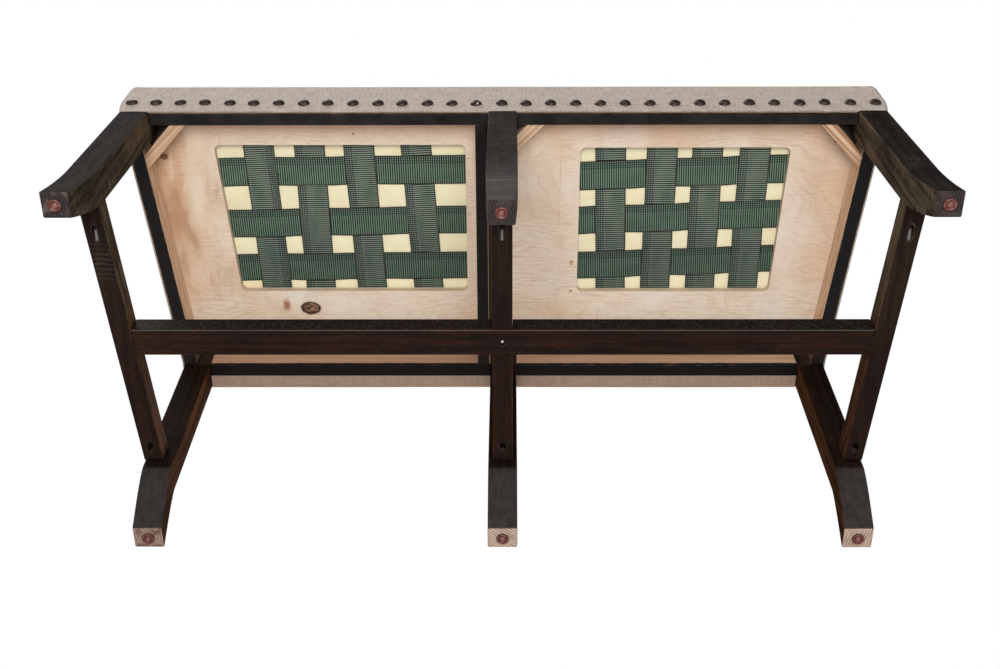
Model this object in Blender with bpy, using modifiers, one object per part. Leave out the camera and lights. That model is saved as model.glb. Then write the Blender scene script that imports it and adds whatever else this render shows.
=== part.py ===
"""Upholstered dining settee on six sabre legs, with webbed seat decks and a padded back.

Sizes are in metres.  While it is modelled, X runs along the seat, Y runs back from the
front legs' front faces and Z runs up from the floor.  At the end the whole settee is
moved so that the middle of its footprint stands over the origin.
"""
import math

import bmesh
import bpy
from mathutils import Matrix, Vector
from mathutils.geometry import intersect_line_line_2d

# Plan of the frame
FRONT_WIDTH = 1.164            # over the outer faces of the front legs
SEAT_TAPER = 0.094             # how much narrower the settee is over its rear legs
SEAT_DEPTH = 0.488             # front legs' front faces to rear legs' rear faces
RAIL_CLEARANCE = 0.392         # floor to the underside of the rails
BACK_HEIGHT = 0.930            # floor to the top of the back frame
BACK_RAKE = math.radians(10)   # lean of the back from upright

# Legs
LEG_WIDTH = 0.043
FRONT_LEG_DEPTH = 0.047
CENTRE_LEG_DEPTH = 0.040
REAR_LEG_DEPTH = 0.042
FRONT_FOOT_WIDTH = 0.036
FRONT_FOOT_DEPTH = 0.036
REAR_FOOT_DEPTH = 0.034
FRONT_LEAN = math.radians(3.35)
FRONT_KICK = 0.011             # forward sweep of the outer front feet
CENTRE_KICK = 0.0              # the middle front foot has none
REAR_KICK = 0.038              # backward sweep of the rear feet
KICK_HEIGHT = 0.120            # where the sweep of a front foot begins
KICK_POWER = 1.65
REAR_KICK_HEIGHT = 0.092       # and of a rear foot
REAR_KICK_POWER = 1.25
KICK_STEPS = 9
LEG_EASE = 0.0018              # softened long edges

# Seat frame
RAIL_HEIGHT = 0.048
RAIL_THICKNESS = 0.019
REAR_RAIL_THICKNESS = 0.021
CROSS_RAIL_THICKNESS = 0.018
CROSS_RAIL_OFFSET = 0.0027     # cross rail to the left faces of the middle legs
RAIL_EASE = 0.0012
BLOCK_NEAR = 0.050             # corner block: near edge from the inside corner
BLOCK_THICKNESS = 0.0175
BLOCK_HEIGHT = 0.040
BLOCK_DROP = 0.003             # block's underside above the rails' underside

# Stretchers
STRETCHER_CLEARANCE = 0.128    # floor to the underside of the stretchers, behind the front legs
STRETCHER_FALL = 0.018         # how much lower they are at the rear legs
STRETCHER_HEIGHT = 0.034
STRETCHER_WIDTH = 0.029
STRETCHER_INSET = 0.0015       # side stretchers inside the legs' outer faces
LONG_STRETCHER_WIDTH = 0.040
LONG_STRETCHER_Y = 0.249
STRETCHER_EASE = 0.0015

# Screws
SCREW_SHANK = 0.004
SCREW_HEAD = 0.0082
SCREW_HEAD_HEIGHT = 0.0024
SCREW_TIP = 0.006              # length of the tapered tip
SCREW_GRIP = 0.022             # length held in the second piece
POCKET_DIAMETER = 0.0095
POCKET_FRONT = 0.045           # pocket mouths from the front legs
POCKET_REAR = 0.026            # pocket mouths from the rear legs
FRONT_HEAD_SETBACK = 0.034     # pocket screws' heads from the joint, along the screw
REAR_HEAD_SETBACK = 0.017
COUNTERSINK = 0.003

# Seat decks
DECK_THICKNESS = 0.012
DECK_LAP = 0.016               # deck's rear edge past the rear posts' front faces
CUTOUT_RADIUS = 0.009
LEFT_FRONT_MARGIN = 0.073      # bare deck round the left cut-out: from the front
LEFT_REAR_MARGIN = 0.115       # from the rear posts' front faces
LEFT_INNER_MARGIN = 0.0168     # from the cross rail
LEFT_OUTER_MARGINS = (0.121, 0.115)     # from the seat's side, at the front and the rear
RIGHT_FRONT_MARGIN = 0.078     # and round the right one
RIGHT_REAR_MARGIN = 0.114
RIGHT_INNER_MARGIN = 0.1005    # from the middle legs
RIGHT_OUTER_MARGINS = (0.123, 0.109)

# Elastic webbing, placed by hand: shares of the cut-out at the two ends of each strip
WEB_WIDTH = 0.0506
WEB_THICKNESS = 0.0012
WEB_LAP = 0.022                # strip past the edge of its cut-out
WEB_FLAT = 0.002               # level run past the edge of a crossing strip
LEFT_CROSS_SHARE = ((0.176, 0.144), (0.380, 0.339), (0.577, 0.568), (0.806, 0.819))
RIGHT_CROSS_SHARE = ((0.154, 0.170), (0.402, 0.403), (0.619, 0.638), (0.846, 0.862))
LEFT_LONG_SHARE = ((0.190, 0.190), (0.539, 0.531), (0.849, 0.849))
RIGHT_LONG_SHARE = ((0.201, 0.173), (0.508, 0.480), (0.827, 0.799))

# Upholstery
COVER = 0.0035                 # linen with its padding
FOAM_THICKNESS = 0.046
SEAT_CROWN = 0.012
BACK_FOAM_THICKNESS = 0.042
BACK_CROWN = 0.010
SOFT_EDGE = 0.014              # rounding of the cushions' top edges
SOFT_SEGMENTS = 3
SEAT_GRID = (18, 8)
BACK_GRID = (18, 7)
BACK_PANEL_THICKNESS = 0.006
BACK_RAIL_HEIGHT = 0.055

# Glides, each with its own nail
GLIDE_DIAMETER = 0.021
GLIDE_HEIGHT = 0.004
GLIDE_BEVEL = 0.0012
GLIDE_WELL = 0.0090            # shallow well in the underside
GLIDE_WELL_DEPTH = 0.0012
GLIDE_NAIL = 0.0036
GLIDE_NAIL_LENGTH = 0.018
ROUND_SIDES = 16

# Fits
FIT = 0.0003                   # gap between pieces that touch
HOLE_FIT = 0.0006              # hole's radius over its screw's radius
SHOULDER = 0.0005              # rise of the leg shoulders under the cover
CUT = 0.010                    # how far a cutter passes beyond what it cuts
WELD = 0.00005                 # points this close are one
SHARP = math.radians(57)       # an edge that turns more than this is a corner
SMOOTH = math.radians(60)      # padded surfaces shade smoothly below this

# Finishes: colour, roughness, metallic
FINISHES = {
    "ebonised": ((0.022, 0.017, 0.015), 0.45, 0.0),
    "raw_wood": ((0.72, 0.53, 0.37), 0.70, 0.0),
    "plywood": ((0.78, 0.62, 0.46), 0.70, 0.0),
    "webbing": ((0.055, 0.125, 0.095), 0.85, 0.0),
    "foam": ((0.86, 0.79, 0.55), 0.95, 0.0),
    "linen": ((0.50, 0.44, 0.37), 0.95, 0.0),
    "steel": ((0.55, 0.55, 0.55), 0.35, 1.0),
    "glide": ((0.23, 0.075, 0.050), 0.50, 0.0),
}

# Places worked out from the sizes above
REAR_WIDTH = FRONT_WIDTH - SEAT_TAPER                # over the outer faces of the rear legs
STEP = COVER + FIT                                   # frame inside the legs' faces
RAIL_TOP = RAIL_CLEARANCE + RAIL_HEIGHT
DECK_BOTTOM = RAIL_TOP + FIT
DECK_TOP = DECK_BOTTOM + DECK_THICKNESS
WEB_LOW = DECK_TOP + FIT + WEB_THICKNESS / 2
WEB_HIGH = WEB_LOW + WEB_THICKNESS + FIT
FOAM_BOTTOM = WEB_HIGH + WEB_THICKNESS / 2 + FIT
SEAT_TOP = FOAM_BOTTOM + FOAM_THICKNESS
BACK_FOOT = SEAT_TOP + COVER + 3 * FIT               # underside of the back's upholstery
STRETCHER_TOP = STRETCHER_CLEARANCE + STRETCHER_HEIGHT
HALF_LEG = LEG_WIDTH / 2
POST_FRONT = SEAT_DEPTH - REAR_LEG_DEPTH
SIDE_TAPER = -SEAT_TAPER / 2 / (SEAT_DEPTH - (REAR_LEG_DEPTH + FRONT_LEG_DEPTH) / 2)
CROSS_RIGHT = -HALF_LEG - CROSS_RAIL_OFFSET
CROSS_LEFT = CROSS_RIGHT - CROSS_RAIL_THICKNESS
CROSS_MIDDLE = (CROSS_LEFT + CROSS_RIGHT) / 2
POST_TOP = BACK_HEIGHT - BACK_RAIL_HEIGHT - FIT
BACK_FRONT_GAP = BACK_FOAM_THICKNESS + BACK_PANEL_THICKNESS + COVER + 2 * FIT
LEFT, CENTRE, RIGHT = -1, 0, 1
SIDES = {LEFT: "left", CENTRE: "centre", RIGHT: "right"}


def outer_x(y):
    """Half the width over the tapered sides, y behind the front."""
    return FRONT_WIDTH / 2 + SIDE_TAPER * (y - FRONT_LEG_DEPTH / 2)


def rake(z):
    """How far the back leans behind its foot at height z."""
    return max(0.0, z - SEAT_TOP) * math.tan(BACK_RAKE)


def kick(z, start=KICK_HEIGHT, power=KICK_POWER):
    """Sweep of a foot at height z, from 0 where it begins to 1 at the floor end."""
    share = (start - z) / (start - GLIDE_HEIGHT)
    return max(0.0, share) ** power


def rear_kick(z):
    return kick(z, REAR_KICK_HEIGHT, REAR_KICK_POWER)


def fall(y):
    """How much lower the stretchers are at depth y than behind the front legs."""
    return STRETCHER_FALL * (y - FRONT_LEG_DEPTH) / (POST_FRONT - FRONT_LEG_DEPTH)


# Building helpers

def clear_scene():
    for thing in list(bpy.data.objects):
        bpy.data.objects.remove(thing, do_unlink=True)


def make_collection(name):
    collection = bpy.data.collections.new(name)
    bpy.context.scene.collection.children.link(collection)
    return collection


def make_material(name, finish):
    colour, roughness, metallic = FINISHES[finish]
    material = bpy.data.materials.new(name)
    material.use_nodes = True
    shader = material.node_tree.nodes["Principled BSDF"]
    shader.inputs["Base Color"].default_value = (*colour, 1.0)
    shader.inputs["Roughness"].default_value = roughness
    shader.inputs["Metallic"].default_value = metallic
    material.diffuse_color = (*colour, 1.0)
    return material


def finish_mesh(bm, name):
    bmesh.ops.recalc_face_normals(bm, faces=bm.faces)
    mesh = bpy.data.meshes.new(name)
    bm.to_mesh(mesh)
    bm.free()
    return mesh


def add_part(name, mesh, finish, smooth=None):
    """Put a piece in the settee's collection, under its root, with its own material."""
    mesh.materials.append(make_material(name, finish))
    if smooth is not None:
        mesh.shade_smooth()
        mesh.set_sharp_from_angle(angle=smooth)
    part = bpy.data.objects.new(name, mesh)
    parts.objects.link(part)
    part.parent = root
    return part


def add_cutter(name, mesh):
    cutter = bpy.data.objects.new(name, mesh)
    cutters.objects.link(cutter)
    cutter.parent = root
    cutter.hide_render = True
    cutter.display_type = "WIRE"
    return cutter


def cut(part, cutter):
    modifier = part.modifiers.new("cut_" + cutter.name, "BOOLEAN")
    modifier.operation = "DIFFERENCE"
    modifier.object = cutter


def ease(part, width, segments=2, method="ANGLE"):
    modifier = part.modifiers.new("ease", "BEVEL")
    modifier.width = width
    modifier.segments = segments
    modifier.limit_method = method
    modifier.angle_limit = SHARP
    return modifier


def at(value, place):
    """A size that is either fixed or a function of where it is taken."""
    return value(place) if callable(value) else value


def bar_mesh(name, left, right, front, rear, bottom, top):
    """A bar whose ends may follow its height and whose sides may follow its depth."""
    bm = bmesh.new()
    bmesh.ops.create_cube(bm, size=1)
    for vert in bm.verts:
        z = top if vert.co.z > 0 else bottom
        y = at(rear if vert.co.y > 0 else front, z)
        x = at(right if vert.co.x > 0 else left, y)
        vert.co = (x, y, z)
    return finish_mesh(bm, name)


def post_mesh(name, heights, section, eased_below):
    """A sawn post: section(z) gives its left, right, front and rear at each height."""
    count = len(heights) - 1
    bm = bmesh.new()
    bmesh.ops.create_cube(bm, size=1)
    for index in range(1, count):
        level = (0, 0, index / count - 0.5)
        everything = bm.verts[:] + bm.edges[:] + bm.faces[:]
        bmesh.ops.bisect_plane(bm, geom=everything, plane_co=level, plane_no=(0, 0, 1))
    for vert in bm.verts:
        z = heights[round((vert.co.z + 0.5) * count)]
        left, right, front, rear = section(z)
        vert.co = (right if vert.co.x > 0 else left, rear if vert.co.y > 0 else front, z)
    weight = bm.edges.layers.float.new("bevel_weight_edge")
    for edge in bm.edges:
        if max(vert.co.z for vert in edge.verts) <= eased_below and edge.calc_face_angle() > SHARP:
            edge[weight] = 1.0
    return finish_mesh(bm, name)


def rounded(outline, radius, steps=4):
    """The outline with each corner turned into an arc."""
    points = []
    for index, corner in enumerate(outline):
        corner = Vector(corner)
        before = (Vector(outline[index - 1]) - corner).normalized()
        after = (Vector(outline[(index + 1) % len(outline)]) - corner).normalized()
        half = before.angle(after) / 2
        centre = corner + (before + after).normalized() * radius / math.sin(half)
        start = corner + before * radius / math.tan(half) - centre
        end = corner + after * radius / math.tan(half) - centre
        turn = start.angle_signed(end)
        for step in range(steps + 1):
            angle = -turn * step / steps
            points.append(centre + Matrix.Rotation(angle, 2) @ start)
    return points


def plate_mesh(name, outlines, bottom, top):
    """A flat plate from an outline and any holes, drawn as a filled curve."""
    curve = bpy.data.curves.new(name, "CURVE")
    curve.dimensions = "2D"
    curve.fill_mode = "BOTH"
    curve.extrude = (top - bottom) / 2
    for outline in outlines:
        spline = curve.splines.new("POLY")
        spline.points.add(len(outline) - 1)
        for point, place in zip(spline.points, outline):
            point.co = (place[0], place[1], 0, 1)
        spline.use_cyclic_u = True
    drawing = bpy.data.objects.new(name + "_drawing", curve)
    cutters.objects.link(drawing)
    graph = bpy.context.evaluated_depsgraph_get()
    mesh = bpy.data.meshes.new_from_object(drawing.evaluated_get(graph))
    bpy.data.objects.remove(drawing, do_unlink=True)
    mesh.materials.clear()
    bm = bmesh.new()
    bm.from_mesh(mesh)
    bpy.data.meshes.remove(mesh)
    bmesh.ops.remove_doubles(bm, verts=bm.verts, dist=WELD)
    bmesh.ops.translate(bm, verts=bm.verts, vec=(0, 0, (top + bottom) / 2))
    return finish_mesh(bm, name)


def rod(bm, start, direction, length, diameter):
    """Add a rod to bm, from start along direction."""
    turn = Vector((0, 0, 1)).rotation_difference(Vector(direction)).to_matrix().to_4x4()
    place = Matrix.Translation(start) @ turn @ Matrix.Translation((0, 0, length / 2))
    bmesh.ops.create_cone(
        bm, cap_ends=True, segments=ROUND_SIDES, radius1=diameter / 2, radius2=diameter / 2,
        depth=length, matrix=place)


def turned_part(name, profile, finish, place):
    """A turned piece from a profile of radii and heights, top to bottom, put at its place."""
    bm = bmesh.new()
    path = [bm.verts.new((radius, 0, height)) for radius, height in profile]
    for pair in zip(path, path[1:]):
        bm.edges.new(pair)
    mesh = bpy.data.meshes.new(name)
    bm.to_mesh(mesh)
    bm.free()
    part = add_part(name, mesh, finish)
    part.matrix_local = place
    lathe = part.modifiers.new("lathe", "SCREW")
    lathe.axis = "Z"
    lathe.angle = math.tau
    lathe.steps = ROUND_SIDES
    lathe.render_steps = ROUND_SIDES
    lathe.use_merge_vertices = True
    lathe.merge_threshold = WELD
    lathe.use_smooth_shade = True
    return part


# Legs

def front_leg(side):
    """An outer leg leans forward and kicks at the foot; its top hides under the cover."""
    depth = CENTRE_LEG_DEPTH if side == CENTRE else FRONT_LEG_DEPTH
    sweep = CENTRE_KICK if side == CENTRE else FRONT_KICK
    middle = side * (FRONT_WIDTH / 2 - HALF_LEG)
    hidden = FRONT_WIDTH / 2 - outer_x(depth) + STEP

    def section(z):
        lean = max(0.0, RAIL_CLEARANCE - z) * math.tan(FRONT_LEAN)
        front = -lean - sweep * kick(z)
        rear = depth - lean - sweep * kick(z) + (FRONT_FOOT_DEPTH - depth) * kick(z)
        thin = (LEG_WIDTH - FRONT_FOOT_WIDTH) * kick(z)
        left = middle - HALF_LEG + (thin / 2 if side == CENTRE else thin if side == RIGHT else 0)
        right = middle + HALF_LEG - (thin / 2 if side == CENTRE else thin if side == LEFT else 0)
        if z > RAIL_CLEARANCE:
            front = STEP
            left += hidden if side == LEFT else 0
            right -= hidden if side == RIGHT else 0
        return left, right, front, rear

    heights = foot_heights(KICK_HEIGHT) + [RAIL_CLEARANCE, RAIL_CLEARANCE + SHOULDER, RAIL_TOP]
    name = "front_leg_" + SIDES[side]
    part = add_part(name, post_mesh(name, heights, section, RAIL_CLEARANCE), "ebonised")
    ease(part, LEG_EASE, method="WEIGHT")
    return part


def rear_leg(side):
    """A rear leg kicks back at the foot and runs on upwards as a raked post of the back."""
    middle = side * (REAR_WIDTH / 2 - HALF_LEG)

    def section(z):
        sweep = REAR_KICK * rear_kick(z)
        thin = (REAR_LEG_DEPTH - REAR_FOOT_DEPTH) * rear_kick(z)
        front = POST_FRONT + sweep + thin + rake(z)
        rear = SEAT_DEPTH + sweep + rake(z)
        left = middle - HALF_LEG
        right = middle + HALF_LEG
        if z > RAIL_CLEARANCE:
            rear -= STEP
        if z > SEAT_TOP:
            left += STEP if side == LEFT else 0
            right -= STEP if side == RIGHT else 0
        return left, right, front, rear

    heights = foot_heights(REAR_KICK_HEIGHT) + [RAIL_CLEARANCE, RAIL_CLEARANCE + SHOULDER]
    heights += [SEAT_TOP, SEAT_TOP + SHOULDER, POST_TOP]
    name = "rear_leg_" + SIDES[side]
    part = add_part(name, post_mesh(name, heights, section, RAIL_CLEARANCE), "ebonised")
    ease(part, LEG_EASE, method="WEIGHT")
    return part


def foot_heights(start):
    rise = start - GLIDE_HEIGHT
    return [GLIDE_HEIGHT + rise * step / KICK_STEPS for step in range(KICK_STEPS + 1)]


def front_leg_rear(side):
    """The rear face of a front leg above its kick, as a function of height."""
    depth = CENTRE_LEG_DEPTH if side == CENTRE else FRONT_LEG_DEPTH
    return lambda z: depth - max(0.0, RAIL_CLEARANCE - z) * math.tan(FRONT_LEAN)


# Seat frame

def rails():
    inner_front = FRONT_WIDTH / 2 - LEG_WIDTH - FIT
    inner_rear = REAR_WIDTH / 2 - LEG_WIDTH - FIT
    beside = HALF_LEG + FIT
    runs = {
        "front_rail_left": (-inner_front, -beside, STEP, STEP + RAIL_THICKNESS),
        "front_rail_right": (beside, inner_front, STEP, STEP + RAIL_THICKNESS),
        "rear_rail_left": (-inner_rear, -beside, POST_FRONT, POST_FRONT + REAR_RAIL_THICKNESS),
        "rear_rail_right": (beside, inner_rear, POST_FRONT, POST_FRONT + REAR_RAIL_THICKNESS),
        "cross_rail": (CROSS_LEFT, CROSS_RIGHT, STEP + RAIL_THICKNESS + FIT, POST_FRONT - FIT),
    }
    for name, (left, right, front, rear) in runs.items():
        mesh = bar_mesh(name, left, right, front, rear, RAIL_CLEARANCE, RAIL_TOP)
        ease(add_part(name, mesh, "raw_wood"), RAIL_EASE, segments=1)
    for side in (LEFT, RIGHT):
        name = "side_rail_" + SIDES[side]
        outside = lambda y: side * (outer_x(y) - STEP)
        inside = lambda y: side * (outer_x(y) - STEP - RAIL_THICKNESS)
        left, right = (outside, inside) if side == LEFT else (inside, outside)
        mesh = bar_mesh(
            name, left, right, FRONT_LEG_DEPTH + FIT, POST_FRONT - FIT, RAIL_CLEARANCE, RAIL_TOP)
        ease(add_part(name, mesh, "raw_wood"), RAIL_EASE, segments=1)


def side_inside(y):
    """Half the clear width between the side rails."""
    return outer_x(y) - STEP - RAIL_THICKNESS


def corner_block(name, corner, along, back, near):
    """A mitred block glued across an inside corner of the seat frame."""
    corner = Vector(corner)
    along = Vector(along).normalized()
    back = Vector(back).normalized()
    far = near + BLOCK_THICKNESS / math.cos(along.angle(back) / 2)
    start = corner + (along + back) * FIT
    outline = [start + along * near, start + along * far, start + back * far, start + back * near]
    bottom = RAIL_CLEARANCE + BLOCK_DROP
    block = plate_mesh(name, [outline], bottom, bottom + BLOCK_HEIGHT)
    add_part(name, block, "raw_wood")


def corner_blocks():
    """Blocks behind the front legs only: the rear rails butt against the posts."""
    front = STEP + RAIL_THICKNESS
    for side in (LEFT, RIGHT):
        taper = Vector((side * SIDE_TAPER, 1))
        corner = (side * side_inside(front), front)
        corner_block("corner_block_front_" + SIDES[side], corner, (-side, 0), taper, BLOCK_NEAR)
    clear_of_leg = HALF_LEG - CROSS_RIGHT + CENTRE_LEG_DEPTH - front
    corner_block("corner_block_front_centre", (CROSS_RIGHT, front), (1, 0), (0, 1), clear_of_leg)


# Screws

def screw(name, head, direction, length, well_diameter, well_depth, pieces):
    """A screw, with its hole and its head's well cut from the pieces that it holds."""
    direction = Vector(direction).normalized()
    turn = Vector((0, 0, 1)).rotation_difference(direction).to_matrix().to_4x4()
    wide = SCREW_HEAD / 2
    shank = SCREW_SHANK / 2
    profile = [(0, length), (shank, length - SCREW_TIP), (shank, SCREW_HEAD_HEIGHT),
               (wide, SCREW_HEAD_HEIGHT), (wide, 0), (0, 0)]
    turned_part(name, profile, "steel", Matrix.Translation(head) @ turn)
    drill = bmesh.new()
    rod(drill, head, direction, length + HOLE_FIT, SCREW_SHANK + 2 * HOLE_FIT)
    hole = add_cutter(name + "_hole", finish_mesh(drill, name + "_hole"))
    counterbore = bmesh.new()
    mouth = head - direction * (well_depth + CUT)
    rod(counterbore, mouth, direction, well_depth + CUT + SCREW_HEAD_HEIGHT + FIT, well_diameter)
    well = add_cutter(name + "_well", finish_mesh(counterbore, name + "_well"))
    cut(pieces[0], well)
    for piece in pieces:
        cut(piece, hole)


# Stretchers

def sloped(mesh):
    """Let a level bar fall towards the rear legs."""
    for vert in mesh.vertices:
        vert.co.z -= fall(vert.co.y)
    return mesh


def stretchers(legs):
    low, high = STRETCHER_CLEARANCE, STRETCHER_TOP
    bars = {}
    for side in (LEFT, RIGHT):
        name = "side_stretcher_" + SIDES[side]
        outside = lambda y: side * (outer_x(y) - STRETCHER_INSET)
        inside = lambda y: side * stretcher_inside(y)
        left, right = (outside, inside) if side == LEFT else (inside, outside)
        front = lambda z: front_leg_rear(side)(z) + FIT
        bars[side] = add_part(
            name, sloped(bar_mesh(name, left, right, front, POST_FRONT - FIT, low, high)), "ebonised")
    front = lambda z: front_leg_rear(CENTRE)(z) + FIT
    half = STRETCHER_WIDTH / 2
    bars[CENTRE] = add_part(
        "centre_stretcher",
        sloped(bar_mesh("centre_stretcher", -half, half, front, POST_FRONT - FIT, low, high)), "ebonised")
    near = LONG_STRETCHER_Y - LONG_STRETCHER_WIDTH / 2
    far = LONG_STRETCHER_Y + LONG_STRETCHER_WIDTH / 2
    reach = lambda y: stretcher_inside(y) - FIT
    back_reach = lambda y: -reach(y)
    long_bar = add_part(
        "long_stretcher",
        sloped(bar_mesh("long_stretcher", back_reach, reach, near, far, low, high)), "ebonised")
    for bar in (*bars.values(), long_bar):
        ease(bar, STRETCHER_EASE)
    middle = (low + high) / 2
    upper = bar_mesh("lap_upper", -half - FIT, half + FIT, near - CUT, far + CUT, middle, high + CUT)
    cut(long_bar, add_cutter("lap_upper", sloped(upper)))
    lower = bar_mesh("lap_lower", -half - CUT, half + CUT, near - FIT, far + FIT, low - CUT, middle + FIT)
    cut(bars[CENTRE], add_cutter("lap_lower", sloped(lower)))
    for side, bar in bars.items():
        pocket_screws(side, bar, legs)
    head = Vector((0, LONG_STRETCHER_Y, low + COUNTERSINK - fall(LONG_STRETCHER_Y)))
    screw("stretcher_screw_lap", head, (0, 0, 1), STRETCHER_HEIGHT - 2 * COUNTERSINK,
          SCREW_HEAD + 2 * HOLE_FIT, COUNTERSINK, [long_bar, bars[CENTRE]])


def stretcher_inside(y):
    """Half the clear width between the side stretchers."""
    return outer_x(y) - STRETCHER_INSET - STRETCHER_WIDTH


def pocket_screws(side, bar, legs):
    """One slanted screw at each end of a stretcher, from a pocket in its underside."""
    middle = (STRETCHER_CLEARANCE + STRETCHER_TOP) / 2
    rise = STRETCHER_HEIGHT / 2
    ends = {
        "front": (front_leg_rear(side)(middle), -1, POCKET_FRONT, FRONT_HEAD_SETBACK),
        "rear": (POST_FRONT, 1, POCKET_REAR, REAR_HEAD_SETBACK),
    }
    for end, (joint_y, way, reach, setback) in ends.items():
        slope = side * SIDE_TAPER
        x = side * (outer_x(joint_y) - STRETCHER_INSET - STRETCHER_WIDTH / 2)
        direction = Vector((slope * way, way, rise / reach)).normalized()
        head = Vector((x, joint_y, middle - fall(joint_y))) - direction * setback
        screw("stretcher_screw_%s_%s" % (end, SIDES[side]), head, direction,
              setback + SCREW_GRIP, POCKET_DIAMETER, reach / abs(direction.y), [bar, legs[end, side]])


# Seat decks and webbing

def cutout(side):
    """Corners of a deck's cut-out: front left, front right, rear right and rear left."""
    if side == LEFT:
        front, rear = LEFT_FRONT_MARGIN, POST_FRONT - LEFT_REAR_MARGIN
        inner = CROSS_LEFT - LEFT_INNER_MARGIN
        margins = LEFT_OUTER_MARGINS
    else:
        front, rear = RIGHT_FRONT_MARGIN, POST_FRONT - RIGHT_REAR_MARGIN
        inner = HALF_LEG + RIGHT_INNER_MARGIN
        margins = RIGHT_OUTER_MARGINS
    outer = [side * (outer_x(y) - margin) for y, margin in zip((front, rear), margins)]
    left, right = (outer, (inner, inner)) if side == LEFT else ((inner, inner), outer)
    return [Vector(corner) for corner in (
        (left[0], front), (right[0], front), (right[1], rear), (left[1], rear))]


def decks():
    front = STEP
    rear = POST_FRONT + DECK_LAP
    notch = POST_FRONT - FIT
    edge = lambda y: outer_x(y) - STEP
    post = REAR_WIDTH / 2 - LEG_WIDTH - FIT
    middle = HALF_LEG + FIT
    outlines = {
        "seat_deck_left": (
            [(-edge(front), front), (CROSS_MIDDLE - FIT, front), (CROSS_MIDDLE - FIT, rear),
             (-post, rear), (-post, notch), (-edge(notch), notch)],
            cutout(LEFT)),
        "seat_deck_right": (
            [(CROSS_MIDDLE, front), (edge(front), front), (edge(notch), notch), (post, notch),
             (post, rear), (middle, rear), (middle, notch), (CROSS_MIDDLE, notch)],
            cutout(RIGHT)),
    }
    for name, (outline, hole) in outlines.items():
        mesh = plate_mesh(name, [outline, rounded(hole, CUTOUT_RADIUS)], DECK_BOTTOM, DECK_TOP)
        add_part(name, mesh, "plywood")


def strip_line(start, end):
    """A strip's middle line, from edge to edge of its cut-out and past both."""
    past = (end - start).normalized() * WEB_LAP
    return start - past, end + past


def webbing_strip(name, line, crossings):
    """A strip along its line, low or high where it meets each crossing line."""
    start, end = line
    run = end - start
    side = Vector((-run.y, run.x)).normalized() * WEB_WIDTH / 2
    stations = [(0.0, WEB_LOW)]
    for crossing, low in crossings:
        distance = (intersect_line_line_2d(start, end, *crossing) - start).length
        level = WEB_LOW if low else WEB_HIGH
        half = WEB_WIDTH / 2 + WEB_FLAT
        stations += [(distance - half, level), (distance + half, level)]
    stations.append((run.length, WEB_LOW))
    bm = bmesh.new()
    edge_verts = []
    for distance, level in stations:
        place = start + run.normalized() * distance - side
        edge_verts.append(bm.verts.new((place.x, place.y, level)))
    edges = [bm.edges.new(pair) for pair in zip(edge_verts, edge_verts[1:])]
    widened = bmesh.ops.extrude_edge_only(bm, edges=edges)["geom"]
    moved = [item for item in widened if isinstance(item, bmesh.types.BMVert)]
    bmesh.ops.translate(bm, verts=moved, vec=(2 * side.x, 2 * side.y, 0))
    strip = add_part(name, finish_mesh(bm, name), "webbing")
    thicken = strip.modifiers.new("thickness", "SOLIDIFY")
    thicken.thickness = WEB_THICKNESS
    thicken.offset = 0


def webbing():
    """Two plain-woven panels: four strips front to back and three along the seat in each."""
    panels = ((LEFT, LEFT_CROSS_SHARE, LEFT_LONG_SHARE), (RIGHT, RIGHT_CROSS_SHARE, RIGHT_LONG_SHARE))
    for side, cross_shares, long_shares in panels:
        front_left, front_right, rear_right, rear_left = cutout(side)
        cross = [strip_line(front_left.lerp(front_right, ends[0]), rear_left.lerp(rear_right, ends[1]))
                 for ends in cross_shares]
        long = [strip_line(front_left.lerp(rear_left, ends[0]), front_right.lerp(rear_right, ends[1]))
                for ends in long_shares]
        phase = 0 if side == LEFT else 1
        for column, line in enumerate(cross):
            meets = [(other, (column + row + phase) % 2 == 0) for row, other in enumerate(long)]
            webbing_strip("webbing_%s_cross_%d" % (SIDES[side], column + 1), line, meets)
        for row, line in enumerate(long):
            meets = [(other, (column + row + phase) % 2 == 1) for column, other in enumerate(cross)]
            webbing_strip("webbing_%s_long_%d" % (SIDES[side], row + 1), line, meets)


# Upholstery

def padded_mesh(name, grid, surface, base, walls, closed):
    """A crowned pad: surface(u, v) places its top, base(place) the foot of its walls."""
    bm = bmesh.new()
    bmesh.ops.create_grid(bm, x_segments=grid[0], y_segments=grid[1], size=0.5)
    weight = bm.edges.layers.float.new("bevel_weight_edge")
    wall_edges = []
    for edge in bm.edges:
        if not edge.is_boundary:
            continue
        middle = (edge.verts[0].co + edge.verts[1].co) / 2
        where = {"left": middle.x < -0.49, "right": middle.x > 0.49,
                 "near": middle.y < -0.49, "far": middle.y > 0.49}
        if any(where[wall] for wall in walls):
            wall_edges.append(edge)
    for vert in bm.verts:
        vert.co = surface(vert.co.x + 0.5, vert.co.y + 0.5)
    for edge in wall_edges:
        edge[weight] = 1.0
    grown = bmesh.ops.extrude_edge_only(bm, edges=wall_edges)["geom"]
    for item in grown:
        if isinstance(item, bmesh.types.BMVert):
            item.co = base(item.co)
    if closed:
        rim = [edge for edge in bm.edges if edge.is_boundary]
        bmesh.ops.holes_fill(bm, edges=rim)
    return finish_mesh(bm, name)


def pad(name, grid, surface, base, walls, finish, shell):
    mesh = padded_mesh(name, grid, surface, base, walls, closed=not shell)
    part = add_part(name, mesh, finish, smooth=SMOOTH)
    ease(part, SOFT_EDGE, SOFT_SEGMENTS, "WEIGHT")
    if shell:
        skin = part.modifiers.new("skin", "SOLIDIFY")
        skin.thickness = COVER
        skin.offset = 1
        skin.use_even_offset = True
    return part


def swell(share):
    """Rise of a cushion's crown across it, from 0 at the edges to 1 in the middle."""
    share = min(max(share, 0.0), 1.0)
    return 1 - (2 * share - 1) ** 2


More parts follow.
